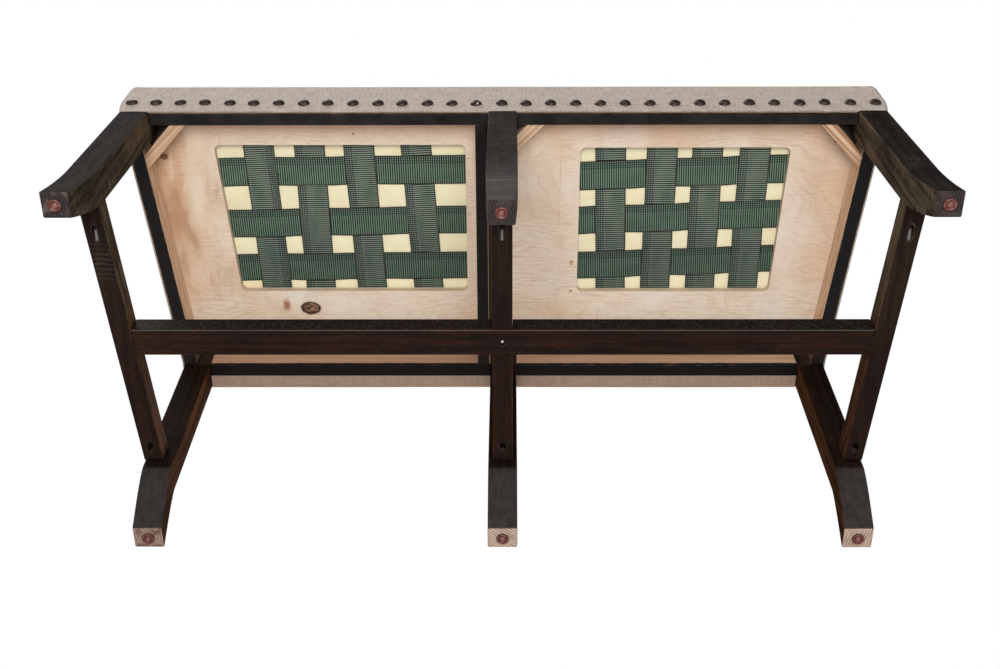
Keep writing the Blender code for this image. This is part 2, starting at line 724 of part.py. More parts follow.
def seat_upholstery():
    """Foam on the decks, under a linen cover that hangs over the front and side rails."""
    visible = POST_FRONT - BACK_FRONT_GAP

    def seat_surface(inset, lift):
        def surface(u, v):
            y = inset + v * (POST_FRONT - FIT - inset)
            z = SEAT_TOP + lift + SEAT_CROWN * swell(u) * swell(y / visible)
            return ((2 * u - 1) * (outer_x(y) - inset), y, z)
        return surface

    pad("seat_foam", SEAT_GRID, seat_surface(STEP, 0), lambda place: (place.x, place.y, FOAM_BOTTOM),
        ("left", "right", "near", "far"), "foam", shell=False)
    hem = RAIL_CLEARANCE + SHOULDER + FIT
    pad("seat_cover", SEAT_GRID, seat_surface(COVER, FIT), lambda place: (place.x, place.y, hem),
        ("left", "right", "near"), "linen", shell=True)


def back_upholstery():
    """Foam on a thin panel before the posts, a cover round both, and an outside back."""
    half = REAR_WIDTH / 2 - STEP
    panel_front = lambda z: POST_FRONT + rake(z) - FIT - BACK_PANEL_THICKNESS
    panel_rear = lambda z: POST_FRONT + rake(z) - FIT
    panel = bar_mesh("back_panel", -half, half, panel_front, panel_rear, BACK_FOOT, BACK_HEIGHT)
    add_part("back_panel", panel, "plywood")
    outside_rear = lambda z: SEAT_DEPTH + rake(z)

    def back_surface(inset, lift, foot):
        def surface(u, v):
            z = foot + v * (BACK_HEIGHT + lift - foot)
            swelling = BACK_CROWN * swell(u) * swell(v)
            y = panel_front(z) - FIT - BACK_FOAM_THICKNESS - lift - swelling
            return ((2 * u - 1) * (REAR_WIDTH / 2 - inset), y, z)
        return surface

    pad("back_foam", BACK_GRID, back_surface(STEP, 0, BACK_FOOT),
        lambda place: (place.x, panel_front(place.z) - FIT, place.z),
        ("left", "right", "near", "far"), "foam", shell=False)
    hem = lambda place: (place.x, outside_rear(place.z) - COVER - 2 * FIT, place.z)
    pad("back_cover", BACK_GRID, back_surface(COVER, FIT, BACK_FOOT), hem,
        ("left", "right", "far"), "linen", shell=True)
    low, bend, high = RAIL_CLEARANCE + SHOULDER + FIT, SEAT_TOP, BACK_HEIGHT + FIT + COVER

    def outside(z):
        return -REAR_WIDTH / 2, REAR_WIDTH / 2, outside_rear(z) - COVER, outside_rear(z)

    add_part("outside_back", post_mesh("outside_back", [low, bend, high], outside, 0), "linen")


def back_frame():
    """A top rail across the posts, and a padded strip along the foot of the outside back."""
    half = REAR_WIDTH / 2 - STEP
    front = lambda z: POST_FRONT + rake(z)
    rear = lambda z: SEAT_DEPTH - STEP + rake(z)
    rail = bar_mesh("back_top_rail", -half, half, front, rear, POST_TOP + FIT, BACK_HEIGHT)
    ease(add_part("back_top_rail", rail, "raw_wood"), RAIL_EASE, segments=1)
    beside = HALF_LEG + FIT
    reach = REAR_WIDTH / 2 - LEG_WIDTH - FIT
    strip_front = POST_FRONT + REAR_RAIL_THICKNESS + FIT
    strip_rear = SEAT_DEPTH - COVER - FIT
    for side in (LEFT, RIGHT):
        name = "tack_strip_" + SIDES[side]
        left, right = (-reach, -beside) if side == LEFT else (beside, reach)
        strip = bar_mesh(name, left, right, strip_front, strip_rear, RAIL_CLEARANCE, RAIL_TOP)
        ease(add_part(name, strip, "linen"), RAIL_EASE, segments=1)


# Glides

def foot_centres():
    """The middle of the underside of each foot, with the leg that it belongs to."""
    places = {}
    lean = (RAIL_CLEARANCE - GLIDE_HEIGHT) * math.tan(FRONT_LEAN)
    for side in (LEFT, CENTRE, RIGHT):
        sweep = CENTRE_KICK if side == CENTRE else FRONT_KICK
        x = side * (FRONT_WIDTH / 2 - FRONT_FOOT_WIDTH / 2)
        places["front", side] = (x, FRONT_FOOT_DEPTH / 2 - lean - sweep, 0)
        x = side * (REAR_WIDTH / 2 - HALF_LEG)
        places["rear", side] = (x, SEAT_DEPTH + REAR_KICK - REAR_FOOT_DEPTH / 2, 0)
    return places


def glides(legs):
    """A nail-on glide under each foot: a disc moulded round the head of its nail."""
    wide = GLIDE_DIAMETER / 2
    nail = GLIDE_NAIL / 2
    top = GLIDE_HEIGHT - FIT
    point = GLIDE_HEIGHT + GLIDE_NAIL_LENGTH
    profile = [(0, point), (nail, point - 2 * GLIDE_NAIL), (nail, top), (wide, top),
               (wide, GLIDE_BEVEL), (wide - GLIDE_BEVEL, 0), (GLIDE_WELL / 2, 0),
               (GLIDE_WELL / 2, GLIDE_WELL_DEPTH), (0, GLIDE_WELL_DEPTH)]
    for (row, side), place in foot_centres().items():
        name = "foot_glide_%s_%s" % (row, SIDES[side])
        turned_part(name, profile, "glide", Matrix.Translation(place))
        drill = bmesh.new()
        rod(drill, place, (0, 0, 1), point + HOLE_FIT, GLIDE_NAIL + 2 * HOLE_FIT)
        cut(legs[row, side], add_cutter(name + "_hole", finish_mesh(drill, name + "_hole")))


def centre_over_origin():
    """Move the root so that the settee's footprint is centred over the origin."""
    graph = bpy.context.evaluated_depsgraph_get()
    graph.update()
    depths = []
    for part in parts.objects:
        shape = part.evaluated_get(graph)
        depths += [(shape.matrix_world @ Vector(corner)).y for corner in shape.bound_box]
    root.location.y = -(min(depths) + max(depths)) / 2


clear_scene()
parts = make_collection("dining_settee")
cutters = make_collection("dining_settee_cutters")
root = bpy.data.objects.new("dining_settee_root", None)
parts.objects.link(root)

legs = {}
for place in (LEFT, CENTRE, RIGHT):
    legs["front", place] = front_leg(place)
    legs["rear", place] = rear_leg(place)
rails()
corner_blocks()
stretchers(legs)
decks()
webbing()
seat_upholstery()
back_frame()
back_upholstery()
glides(legs)
centre_over_origin()
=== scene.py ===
"""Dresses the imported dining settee: stained and raw wood, plywood, webbing, foam, linen, nails."""

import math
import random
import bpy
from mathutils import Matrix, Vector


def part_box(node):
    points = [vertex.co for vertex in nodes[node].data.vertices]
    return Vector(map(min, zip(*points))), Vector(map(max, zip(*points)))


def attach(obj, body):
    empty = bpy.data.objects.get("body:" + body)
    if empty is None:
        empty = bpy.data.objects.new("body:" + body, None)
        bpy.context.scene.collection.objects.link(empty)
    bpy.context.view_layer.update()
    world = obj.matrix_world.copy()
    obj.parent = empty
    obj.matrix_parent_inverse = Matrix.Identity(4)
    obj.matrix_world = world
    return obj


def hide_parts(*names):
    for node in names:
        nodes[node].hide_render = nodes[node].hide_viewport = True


bl_info = {
    "name": "Dining settee",
    "version": (1, 0, 0),
    "blender": (4, 5, 0),
    "location": "View3D > Sidebar > Settee",
    "description": "Dresses the settee's frame with its finishes, webbing and upholstery",
    "category": "Object",
}

import bmesh
import bpy
from bpy.props import FloatProperty, FloatVectorProperty, IntProperty, PointerProperty
from mathutils import Euler, Matrix, Vector, noise

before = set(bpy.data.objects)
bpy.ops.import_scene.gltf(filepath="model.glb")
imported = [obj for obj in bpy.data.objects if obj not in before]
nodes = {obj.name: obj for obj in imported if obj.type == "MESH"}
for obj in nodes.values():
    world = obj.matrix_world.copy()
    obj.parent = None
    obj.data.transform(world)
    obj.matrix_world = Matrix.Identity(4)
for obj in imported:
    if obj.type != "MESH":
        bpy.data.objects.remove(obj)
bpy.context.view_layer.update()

# Places read from the frame
COVER_LOW, COVER_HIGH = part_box("seat_cover")
BACK_LOW, BACK_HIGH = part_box("back_cover")
OUTER_LOW, OUTER_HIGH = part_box("outside_back")
FOAM_LOW, FOAM_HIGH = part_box("seat_foam")
FRONT = COVER_LOW.y
HEM = COVER_LOW.z
RAIL_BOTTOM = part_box("front_rail_left")[0].z
RAIL_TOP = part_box("front_rail_left")[1].z
DECK_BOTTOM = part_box("seat_deck_left")[0].z
POST_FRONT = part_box("rear_rail_left")[0].y
REAR_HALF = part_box("rear_leg_right")[1].x
LONG_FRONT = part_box("long_stretcher")[0].y
SEAT_EDGE = BACK_LOW.z - 0.0006

# Pieces of the frame, and how far the back leans
LEGS = ("front_leg_left", "front_leg_centre", "front_leg_right")
POSTS = ("rear_leg_left", "rear_leg_centre", "rear_leg_right")
BACK_RAKE = math.radians(10)
LEAN = math.tan(BACK_RAKE)

# Marks on the decks: place across, place behind the front, half width, half depth
KNOT = (-0.3227, 0.3634, 0.0160, 0.0116)
STREAK = (-0.3626, 0.3577, 0.010, 0.017)
NAIL_HOLE = (-0.2349, 0.0548, 0.0014, 0.0022)
# A painted highlight: a pale glossy streak on the left deck.
SHEEN_STREAK = (-0.4915, 0.158, 0.027, 0.090)
TORN_SPOTS = ((0.1118, 0.2790, 0.0038, 0.0050), (0.1118, 0.3316, 0.0038, 0.0030))
SPLINTERS = ((-0.5362, 0.0920, 0.0088, 0.0064), (0.5225, 0.0685, 0.0036, 0.0034))
CRACK = 0.0945
PLY_PITCH = 0.0040

# Where a finish changes, and how far apart its marks are
FOOT_END = (0.009, 0.006)
KICK = (0.096, 0.086)
LEFT_END = (-0.3, -0.5)
# Where a painted highlight lies on the front pockets' floors
POCKET_SHINE = (FRONT + 0.075, FRONT + 0.080, FRONT + 0.095, FRONT + 0.089)
SAW_MARKS = FRONT + 0.124
SAW_PITCH = 0.0074
RING_PITCH = 0.00066

# Distances on the cloths
THREAD_PITCH = 0.0011
WARP_PITCH = 0.0021
WEB_LINES = ((0.0044, 0.0014), (0.0082, 0.0013), (0.0120, 0.0013))
WEB_RIM = (0.0022, 0.0010)

# Distances and counts on the soft pieces and the glides
TAPER_END = POST_FRONT + 0.021
CROWN_END = POST_FRONT - 0.05
PLUMP_RISE = 0.055
FRONT_FADE = 0.04
HELD_EDGE = 0.004
FLAP_STEPS = (0.010, 0.010, 0.010, 0.011)
FLAP_CREST = 0.009
FLAP_EASE = 0.009
FLAP_RISE = 0.002
FLAP_DRAW = 0.0012
FLAP_CLEAR = 0.0004
BACK_EDGE = 0.012
BACK_FACE = 0.03
BACK_LIFT = 0.2
BACK_HELD = 0.045
BACK_REAR_GAP = 0.0016
OUTER_INSET = 0.0006
OUTER_GAP = 0.0012
STITCH_RISE = 0.0010
STITCH_WIDTH = 0.010
STRIP_FULLNESS = 0.003
STRIP_ROUND = 0.0008
STRIP_PITCH = 0.014
STRIP_FOLD = 0.01
FOAM_INSET = 0.004
FOAM_MARGIN = 0.002
FOAM_LIFT = 0.0004
WEB_END = 0.008
WEB_STEP = 0.004
GLIDE_SHARE = 0.86
GLIDE_SIDES = 36
CLOTH_FRAMES = 20

# The nails: the chipped one, and how far each may stray
CHIPPED_NAIL = 14
NAIL_SIDES = 28
NAIL_SINK = 0.0001
NAIL_TILT = 0.09
NAIL_STRAY_UP = 0.0010
NAIL_STRAY_ASIDE = 0.0008

# The photograph's camera: its place, its turn in degrees and its lens in millimetres
CAMERA_PLACE = (0.01008, FRONT - 0.70596, RAIL_BOTTOM - 1.96595)
CAMERA_TURN = (150.9168, -0.3365, 0.2082)
CAMERA_LENS = 48.977


def tone(red, green, blue):
    """A colour seen on a screen, 0 to 255, as the light it stands for."""
    shares = [value / 255 for value in (red, green, blue)]
    return tuple(s / 12.92 if s <= 0.04045 else ((s + 0.055) / 1.055) ** 2.4 for s in shares)


def colour(name, words, red, green, blue):
    return FloatVectorProperty(
        name=name, description=words, subtype="COLOR", size=3, min=0, max=1,
        default=tone(red, green, blue))


def length(name, words, metres):
    return FloatProperty(
        name=name, description=words, subtype="DISTANCE", unit="LENGTH", precision=4,
        default=metres)


class SETTEE_PG_colours(bpy.types.PropertyGroup):
    """Colours of the settee's finishes."""
    leg_stain: colour("Leg stain", "Stain on the front legs", 28, 25, 24)
    post_stain: colour("Rear leg stain", "Stain on the rear legs", 22, 17, 14)
    bar_stain: colour("Stretcher stain", "Stain on the stretchers", 31, 21, 18)
    olive: colour("Olive wood", "Wood under the front legs' stain", 96, 80, 62)
    russet: colour("Russet wood", "Wood under the other stains", 92, 55, 31)
    bare: colour("Rubbed edge", "Wood where an edge is rubbed bare", 126, 104, 88)
    paint: colour("Rail paint", "Black paint under the rails", 20, 16, 16)
    rail: colour("Rail wood", "Softwood of rails and corner blocks", 222, 190, 160)
    rail_line: colour("Rail grain", "Grain lines of the softwood", 190, 152, 118)
    ply: colour("Plywood", "Pale face of the seat decks", 230, 212, 191)
    ply_line: colour("Plywood grain", "Grain lines of the seat decks", 190, 156, 124)
    web_cross: colour("Cross webbing", "Ribs from front to back", 138, 151, 135)
    # The long strips' colour is a darker copy of the cross strips': painted shade.
    web_long_shaded: colour("Long webbing", "Ribs along the seat", 118, 142, 122)
    web_dark: colour("Webbing gaps", "Ground between the ribs", 11, 19, 15)
    foam: colour("Foam", "Seat foam", 244, 234, 198)
    linen: colour("Linen", "Linen cover", 191, 175, 161)
    linen_dark: colour("Linen slubs", "Darker threads of the linen", 154, 136, 121)
    bronze: colour("Bronze", "Decorative nails", 46, 33, 28)
    glide: colour("Glides", "Moulded foot glides", 104, 53, 49)
    steel: colour("Steel", "Screws", 176, 176, 178)


class SETTEE_PG_sizes(bpy.types.PropertyGroup):
    """Sizes of the pieces that are modelled here."""
    nail_count: IntProperty(
        name="Nails", description="Nails along the front", default=31, min=2)
    nail_width: length("Nail width", "Diameter of a nail's head", 0.0184)
    nail_rise: length("Nail rise", "Height of a nail's head", 0.0062)
    nail_height: length("Nail line", "Nails above the rails' underside", 0.0270)
    nail_end: length("Nail end", "First nail from the seat's corner", 0.0150)
    nail_bow: length("Nail bow", "Rise of the row towards its ends", 0.0035)
    nail_slant: length("Nail slant", "Fall of the row from its middle to the right", 0.0020)
    nail_shift: length("Nail shift", "How far the row's middle lies to the left", 0.0022)
    rib_pitch: length("Rib pitch", "Distance between the webbing's ribs", 0.0036)
    rib_rise: length("Rib rise", "Height of the webbing's ribs", 0.00022)
    web_width: length("Webbing width", "Width of the elastic webbing", 0.0488)
    web_thick: length("Webbing thickness", "Thickness of the elastic webbing", 0.0010)
    foam_thick: length("Foam thickness", "Thickness of the seat foam", 0.038)
    foam_swell: length("Foam swell", "How far foam swells between the strips", 0.0016)
    foam_gap: length("Foam gap", "Distance over which the foam swells", 0.018)
    soft_edge: length("Soft edge", "Rounding of the seat's top edges", 0.014)
    soft_corner: length("Soft corner", "Rounding of the seat's upright corners", 0.009)
    seat_crown: length("Seat crown", "Rise of the seat's middle", 0.007)
    back_crown: length("Back crown", "How far the back's middle stands out", 0.006)
    back_pad: length("Back padding", "Padding before the back panel", 0.0465)
    cloth_pitch: length("Cloth pitch", "Distance between simulated threads", 0.012)
    cloth_cap: length("Cloth cap", "Farthest that the padding may swell", 0.004)
    cover_thick: length("Cover thickness", "Thickness of the linen", 0.0022)
    side_bulge: length("Side bulge", "How far padding stands out beside the rails", 0.0085)
    front_bulge: length("Front bulge", "How far padding stands out before the rails", 0.0022)


def colours():
    return bpy.context.scene.settee_colours


def sizes():
    return bpy.context.scene.settee_sizes


# Shader maths

class Wire:
    """A shader socket that Python arithmetic can work with."""

    def __init__(self, tree, socket):
        self.tree = tree
        self.socket = socket

    def make(self, kind, settings, inputs, output=0):
        """Add a node: its settings are set first, then the values or links of its sockets."""
        node = self.tree.nodes.new(kind)
        for key, value in settings.items():
            setattr(node, key, value)
        for key, value in inputs.items():
            if isinstance(value, Wire):
                self.tree.links.new(value.socket, node.inputs[key])
            else:
                node.inputs[key].default_value = value
        return Wire(self.tree, node.outputs[output])

    def math(self, operation, first, second=0.0):
        return self.make("ShaderNodeMath", {"operation": operation}, {0: first, 1: second})

    def __abs__(self):
        return self.math("ABSOLUTE", self)

    def __add__(self, other):
        return self.math("ADD", self, other)

    def __radd__(self, other):
        return self.math("ADD", other, self)

    def __sub__(self, other):
        return self.math("SUBTRACT", self, other)

    def __rsub__(self, other):
        return self.math("SUBTRACT", other, self)

    def __mul__(self, other):
        return self.math("MULTIPLY", self, other)

    def __rmul__(self, other):
        return self.math("MULTIPLY", other, self)


def wave(value):
    return value.math("SINE", value)


def most(first, second):
    return first.math("MAXIMUM", first, second)


def vectors(operation, first, second, output=0):
    return first.make(
        "ShaderNodeVectorMath", {"operation": operation}, {0: first, 1: second}, output)


def mapped(place, **inputs):
    return place.make("ShaderNodeMapping", {}, {"Vector": place, **inputs})


def parts(place):
    """The three coordinates of a place or a direction."""
    node = place.make("ShaderNodeSeparateXYZ", {}, {0: place}).socket.node
    return [Wire(place.tree, socket) for socket in node.outputs]


def cloudy(place, scale, detail=2.0, rough=0.5, output=0):
    """Cloudy noise. A scale of three factors stretches it."""
    if not isinstance(scale, float):
        place, scale = vectors("MULTIPLY", place, tuple(scale)), 1.0
    return place.make("ShaderNodeTexNoise", {}, {
        "Vector": place, "Scale": scale, "Detail": detail, "Roughness": rough}, output)


def pushed(place, scale, amount):
    """The place moved by cloudy noise, so that lines on it wander."""
    cloud = vectors("SUBTRACT", cloudy(place, scale, output="Color"), (0.5, 0.5, 0.5))
    return vectors("ADD", place, vectors("MULTIPLY", cloud, (amount,) * 3))


def ramp(value, low, high):
    """0 below low and 1 above high, smoothly."""
    return value.make("ShaderNodeMapRange", {"interpolation_type": "SMOOTHSTEP"}, {
        "Value": value, "From Min": low, "From Max": high})


def spots(place, scale, low, high, detail=2.0, rough=0.5):
    """Cloudy spots with soft edges."""
    return ramp(cloudy(place, scale, detail, rough), low, high)


def near(value, middle, reach):
    """1 at the middle, falling to 0 at its reach on both sides."""
    return 1 - ramp(abs(value - middle), 0.0, reach)


def mixed(share, first, second):
    """The first colour where share is 0 and the second where it is 1."""
    ends = [end if isinstance(end, Wire) else (*end, 1.0) for end in (first, second)]
    return share.make(
        "ShaderNodeMix", {"data_type": "RGBA"}, {0: share, 6: ends[0], 7: ends[1]}, 2)


def layered(body, *layers):
    """Coats over a colour in order. Each is a share and a colour, as tone takes it or ready."""
    for share, *shade in layers:
        body = mixed(share, body, tone(*shade) if len(shade) == 3 else shade[0])
    return body


def facing(place):
    """The surface's direction in the settee's frame."""
    return place.make("ShaderNodeNewGeometry", {}, {}, "Normal")


def rubbed(place, reach):
    """How near a point is to an outer edge, from 0 to 1."""
    soft = place.make("ShaderNodeBevel", {"samples": 6}, {"Radius": reach}, 0)
    return ramp(1 - vectors("DOT_PRODUCT", soft, facing(place), "Value"), 0.01, 0.16)


def around(place, centre, x, y, z):
    """Distance from a centre, in units of the three half sizes."""
    local = mapped(place, Location=[-value for value in centre])
    local = vectors("MULTIPLY", local, (1 / x, 1 / y, 1 / z))
    return vectors("LENGTH", local, (0, 0, 0), "Value")


def deck_mark(place, mark, low, thick=0.02):
    """1 inside an oval mark on a deck's underside, fading out to its rim."""
    x, y, wide, deep = mark
    return 1 - ramp(around(place, (x, FRONT + y, DECK_BOTTOM), wide, deep, thick), low, 1.0)


def woven_place(place):
    """Metres along the cloth and across it, from the piece's own map."""
    return place.make("ShaderNodeUVMap", {"uv_map": "cloth"}, {})


def along(grain, across, lengthways):
    """Stretch factors for a grain that runs along one axis."""
    factors = [across] * 3
    factors[grain] = lengthways
    return factors


def finish(name, paint, gloss=0.5, fixed=None, **choices):
    """A material whose colour, roughness and relief come from paint, given the place."""
    material = bpy.data.materials.new(name)
    material.use_nodes = True
    tree = material.node_tree
    shader = tree.nodes["Principled BSDF"]
    for key, value in {"Specular IOR Level": gloss, **(fixed or {})}.items():
        shader.inputs[key].default_value = value
    source = tree.nodes.new("ShaderNodeTexCoord")
    look = paint(Wire(tree, source.outputs["Object"]), **choices)
    for key, wire in look.items():
        if key == "Relief":
            height, depth = wire
            wire = height.make(
                "ShaderNodeBump", {}, {"Strength": 1.0, "Distance": depth, "Height": height})
            key = "Normal"
        tree.links.new(wire.socket, shader.inputs[key])
    return material


# Finishes

def stained_wood(place, grain, stain, under, sides=0.3, thinness=0.16, figured=0.0):
    """Thin dark stain over brown wood: thinnest on the flanks, rubbed at edges, with painted shade
    in its hollows.

    A leg's foot shows end grain and a rear leg's head is dark brown inside the frame."""
    hues = colours()
    leg = grain == 2
    rear = leg and not figured
    side, depth, height = parts(place)
    across, fore, up = parts(facing(place))
    grained = pushed(place, along(grain, 14, 2), 0.006)
    streak = cloudy(grained, along(grain, 110, 5), 5.0, 0.62)
    pores = cloudy(grained, along(grain, 560, 26), 3.0, 0.6)
    fleck = cloudy(place, along(grain, 300, 110), 3.0, 0.6)
    patch = cloudy(place, 11.0, 4.0, 0.6)
    patchy = ramp(patch, 0.40, 0.60)
    flank = ramp(abs(across), 0.6, 0.8) * (1 - 0.55 * ramp(across * side, 0.05, 0.20))
    worn = ramp(streak + 0.4 * (patch - 0.5), 0.38, 0.66)
    lively = flank * sides * (0.24 + 0.76 * worn)
    if figured:
        lively = lively * (0.80 + 0.85 * ramp(height, 0.20, 0.33))
    if grain == 1:
        under = mixed(ramp(depth, FRONT + 0.30, FRONT + 0.14), under, hues.olive)
    body = layered(
        mixed(worn * thinness + lively, stain, under),
        (ramp(pores, 0.50, 0.68) * 0.50, (0.004, 0.003, 0.003)),
        (ramp(fleck, 0.58, 0.74) * patchy * 0.26, 88, 78, 72))
    if figured:
        figure = spots(place, along(grain, 26, 210), 0.52, 0.70, 3.0, 0.6) * patchy
        outer_leg = ramp(abs(side), 0.1, 0.3)
        # Scuffs and a painted sheen: pale grey over the centre front leg, strongest towards its
        # foot.
        scuff_and_sheen = (0.26 + 0.74 * ramp(height, 0.20, 0.04)) * (1 - 0.94 * outer_leg)
        body = layered(
            body,
            (figure * figured, 70, 65, 63),
            (figure * flank * 0.62, 112, 97, 78),
            (scuff_and_sheen * (0.40 + 0.6 * figure), 104, 99, 98))
    if grain == 0:
        front = ramp(fore, -0.5, -0.8)
        speckle = spots(place, (380.0, 90.0, 200.0), 0.50, 0.64, 3.0, 0.65)
        lip = ramp(depth, LONG_FRONT + 0.0015, LONG_FRONT + 0.0007) * ramp(up, -0.3, -0.6)
        body = layered(
            body,
            (front * 0.6, 16, 14, 14),
            (front * speckle * 0.55, 66, 60, 58),
            (lip * (0.35 + 0.5 * patch), 116, 104, 98))
    if rear:
        # Scuffs and a painted sheen: lighter grey on the forward faces of the rear legs' kicks.
        kick_scuff_and_sheen = ramp(height, *KICK) * ramp(fore, -0.3, -0.5)
        body = layered(body, (kick_scuff_and_sheen * (0.14 + 0.52 * streak), 76, 72, 71))
    nick = spots(place, along(grain, 60, 240), 0.66, 0.72, 4.0, 0.7) * ramp(patch, 0.52, 0.66)
    edge = rubbed(place, 0.0028) * spots(place, 60.0, 0.46, 0.66, 4.0, 0.65)
    body = layered(
        body, (nick * 0.45, hues.bare), (edge * (0.75 if grain == 0 else 0.45), hues.bare))
    # Painted shade: ambient occlusion darkens the wood nearly black in pockets, hollows and joints.
    painted_hollow_shade = place.make("ShaderNodeAmbientOcclusion", {"samples": 6}, {"Distance": 0.020}, "AO")
    painted_hollow_shade = 1 - ramp(painted_hollow_shade, 0.40, 0.80)
    if grain == 1:
        sawn = wave(depth * (math.tau / SAW_PITCH) + 9.0 * patch + 3.0 * streak)
        sawn = ramp(sawn, 0.1, 0.9) * near(depth, SAW_MARKS, 0.042)
        sawn = sawn * ramp(side, -0.35, -0.45) * ramp(up, -0.5, -0.8)
        # Painted highlight: a pale lens on each front pocket's slanted floor, where the hollows'
        # painted shade is taken off.
        shine = ramp(fore, -0.18, -0.26) * ramp(up, -0.2, -0.5)
        shine = shine * (1 - ramp(abs(across), 0.25, 0.55))
        shine = shine * ramp(depth, *POCKET_SHINE[:2]) * ramp(depth, *POCKET_SHINE[2:])
        painted_hollow_shade = painted_hollow_shade * (1 - shine)
        body = layered(body, (sawn * 0.60 * fleck, 86, 74, 70), (shine * 0.85, 132, 129, 127))
    body = layered(body, (painted_hollow_shade * 0.85, (0.003, 0.003, 0.003)))
    rough = 0.46 + 0.24 * pores + 0.1 * edge
    if leg:
        foot = ramp(up, -0.7, -0.9) * ramp(height, *FOOT_END)
        body = mixed(foot, body, end_grain(place, rear))
        rough = rough + 0.25 * foot
    if rear:
        inside = ramp(height, RAIL_BOTTOM, RAIL_BOTTOM + 0.0012)
        head = mixed(ramp(streak, 0.4, 0.7), tone(58, 44, 36), tone(32, 25, 21))
        body = mixed(inside, body, head)
    relief = 0.5 * streak + 0.3 * pores + 0.2 * fleck
    return {"Base Color": body, "Roughness": rough, "Relief": (relief, 0.0008)}


def end_grain(place, rear):
    """A foot's sawn end: growth rings, soiled to the left, with a dark rim."""
    light, dark, soil, centre = (
        (tone(198, 174, 156), tone(118, 86, 68), (98, 72, 62), (0.06, FRONT + 0.40, 0)) if rear
        else (tone(60, 53, 53), tone(32, 27, 27), (98, 86, 82), (0.2, FRONT - 0.09, 0)))
    left = ramp(parts(place)[0], *LEFT_END)
    rings = around(pushed(place, 40.0, 0.004), centre, RING_PITCH, RING_PITCH, 1.0)
    blot = spots(place, 70.0, 0.46, 0.62, 4.0, 0.6)
    raw = mixed(ramp(wave(rings), 0.1, 0.8) * 0.6, light, dark)
    raw = layered(raw, (blot * (0.25 + 0.6 * left), *soil))
    if rear:
        raw = layered(raw, (left * 0.5, 92, 70, 60))
    return layered(raw, (rubbed(place, 0.0026) * 0.7, 56, 40, 34))


def raw_softwood(place, grain, painted=True, turn=0, dull=0.0, band=0.0022):
    """Planed softwood with long lines, painted black underneath."""
    hues = colours()
    side, depth, height = parts(place)
    board = mapped(place, Rotation=(0, 0, math.radians(turn))) if turn else place
    grained = pushed(board, along(grain, 9, 1.2), 0.010)
    lines = cloudy(grained, along(grain, 210, 2.5), 4.0, 0.55)
    fine = cloudy(grained, along(grain, 900, 30))
    blush = cloudy(board, along(grain, 20, 3))
    body = layered(
        mixed(ramp(lines, 0.42, 0.68), hues.rail, hues.rail_line),
        (ramp(blush, 0.5, 0.75) * 0.35, 206, 162, 136),
        (ramp(fine, 0.55, 0.75) * 0.25, 160, 122, 92))
    # Painted shade: the rear rails' wood is darkened.
    if dull:
        body = layered(body, (ramp(blush, 0.1, 0.6) * dull, 146, 108, 88))
    if turn:
        stripe = spots(grained, along(grain, 120, 1.5), 0.54, 0.62)
        body = layered(body, (stripe * (0.8 if turn < 0 else 0.4), 156, 106, 68))
    rough = 0.62 + 0.15 * lines
    if painted:
        below = ramp(parts(facing(place))[2], -0.25, -0.55)
        ragged = height + 0.004 * (cloudy(place, along(grain, 160, 60), 4.0, 0.6) - 0.5)
        coat = most(below, ramp(ragged, RAIL_BOTTOM + band, RAIL_BOTTOM + band - 0.0012))
        chip = spots(place, 150.0, 0.71, 0.74, 4.0, 0.7)
        faded = ramp(depth, FRONT + 0.05, FRONT + 0.03) * 0.5 + 0.15
        black = mixed(
            spots(place, 34.0, 0.3, 0.7, 4.0, 0.6) * faded, hues.paint, tone(46, 42, 42))
        worn = rubbed(place, 0.0022) * spots(place, 45.0, 0.50, 0.64, 4.0, 0.65)
        # Painted shade darkens the rear rails' black paint; their rubbed edges show more on the
        # right.
        if dull:
            black = layered(black, (coat * 0.60, 10, 4, 3))
            worn = worn * (0.6 + ramp(side, 0.0, 0.2))
        black = layered(black, (worn * 0.5, 150, 130, 112))
        body = mixed(coat * (1 - 0.7 * chip), body, black)
        if grain == 1:
            body = layered(body, (ramp(depth, FRONT + 0.412, FRONT + 0.426) * 0.85, 40, 30, 26))
        rough = rough - 0.08 * coat
    relief = 0.7 * lines + 0.3 * fine
    return {"Base Color": body, "Roughness": rough, "Relief": (relief, 0.0004)}


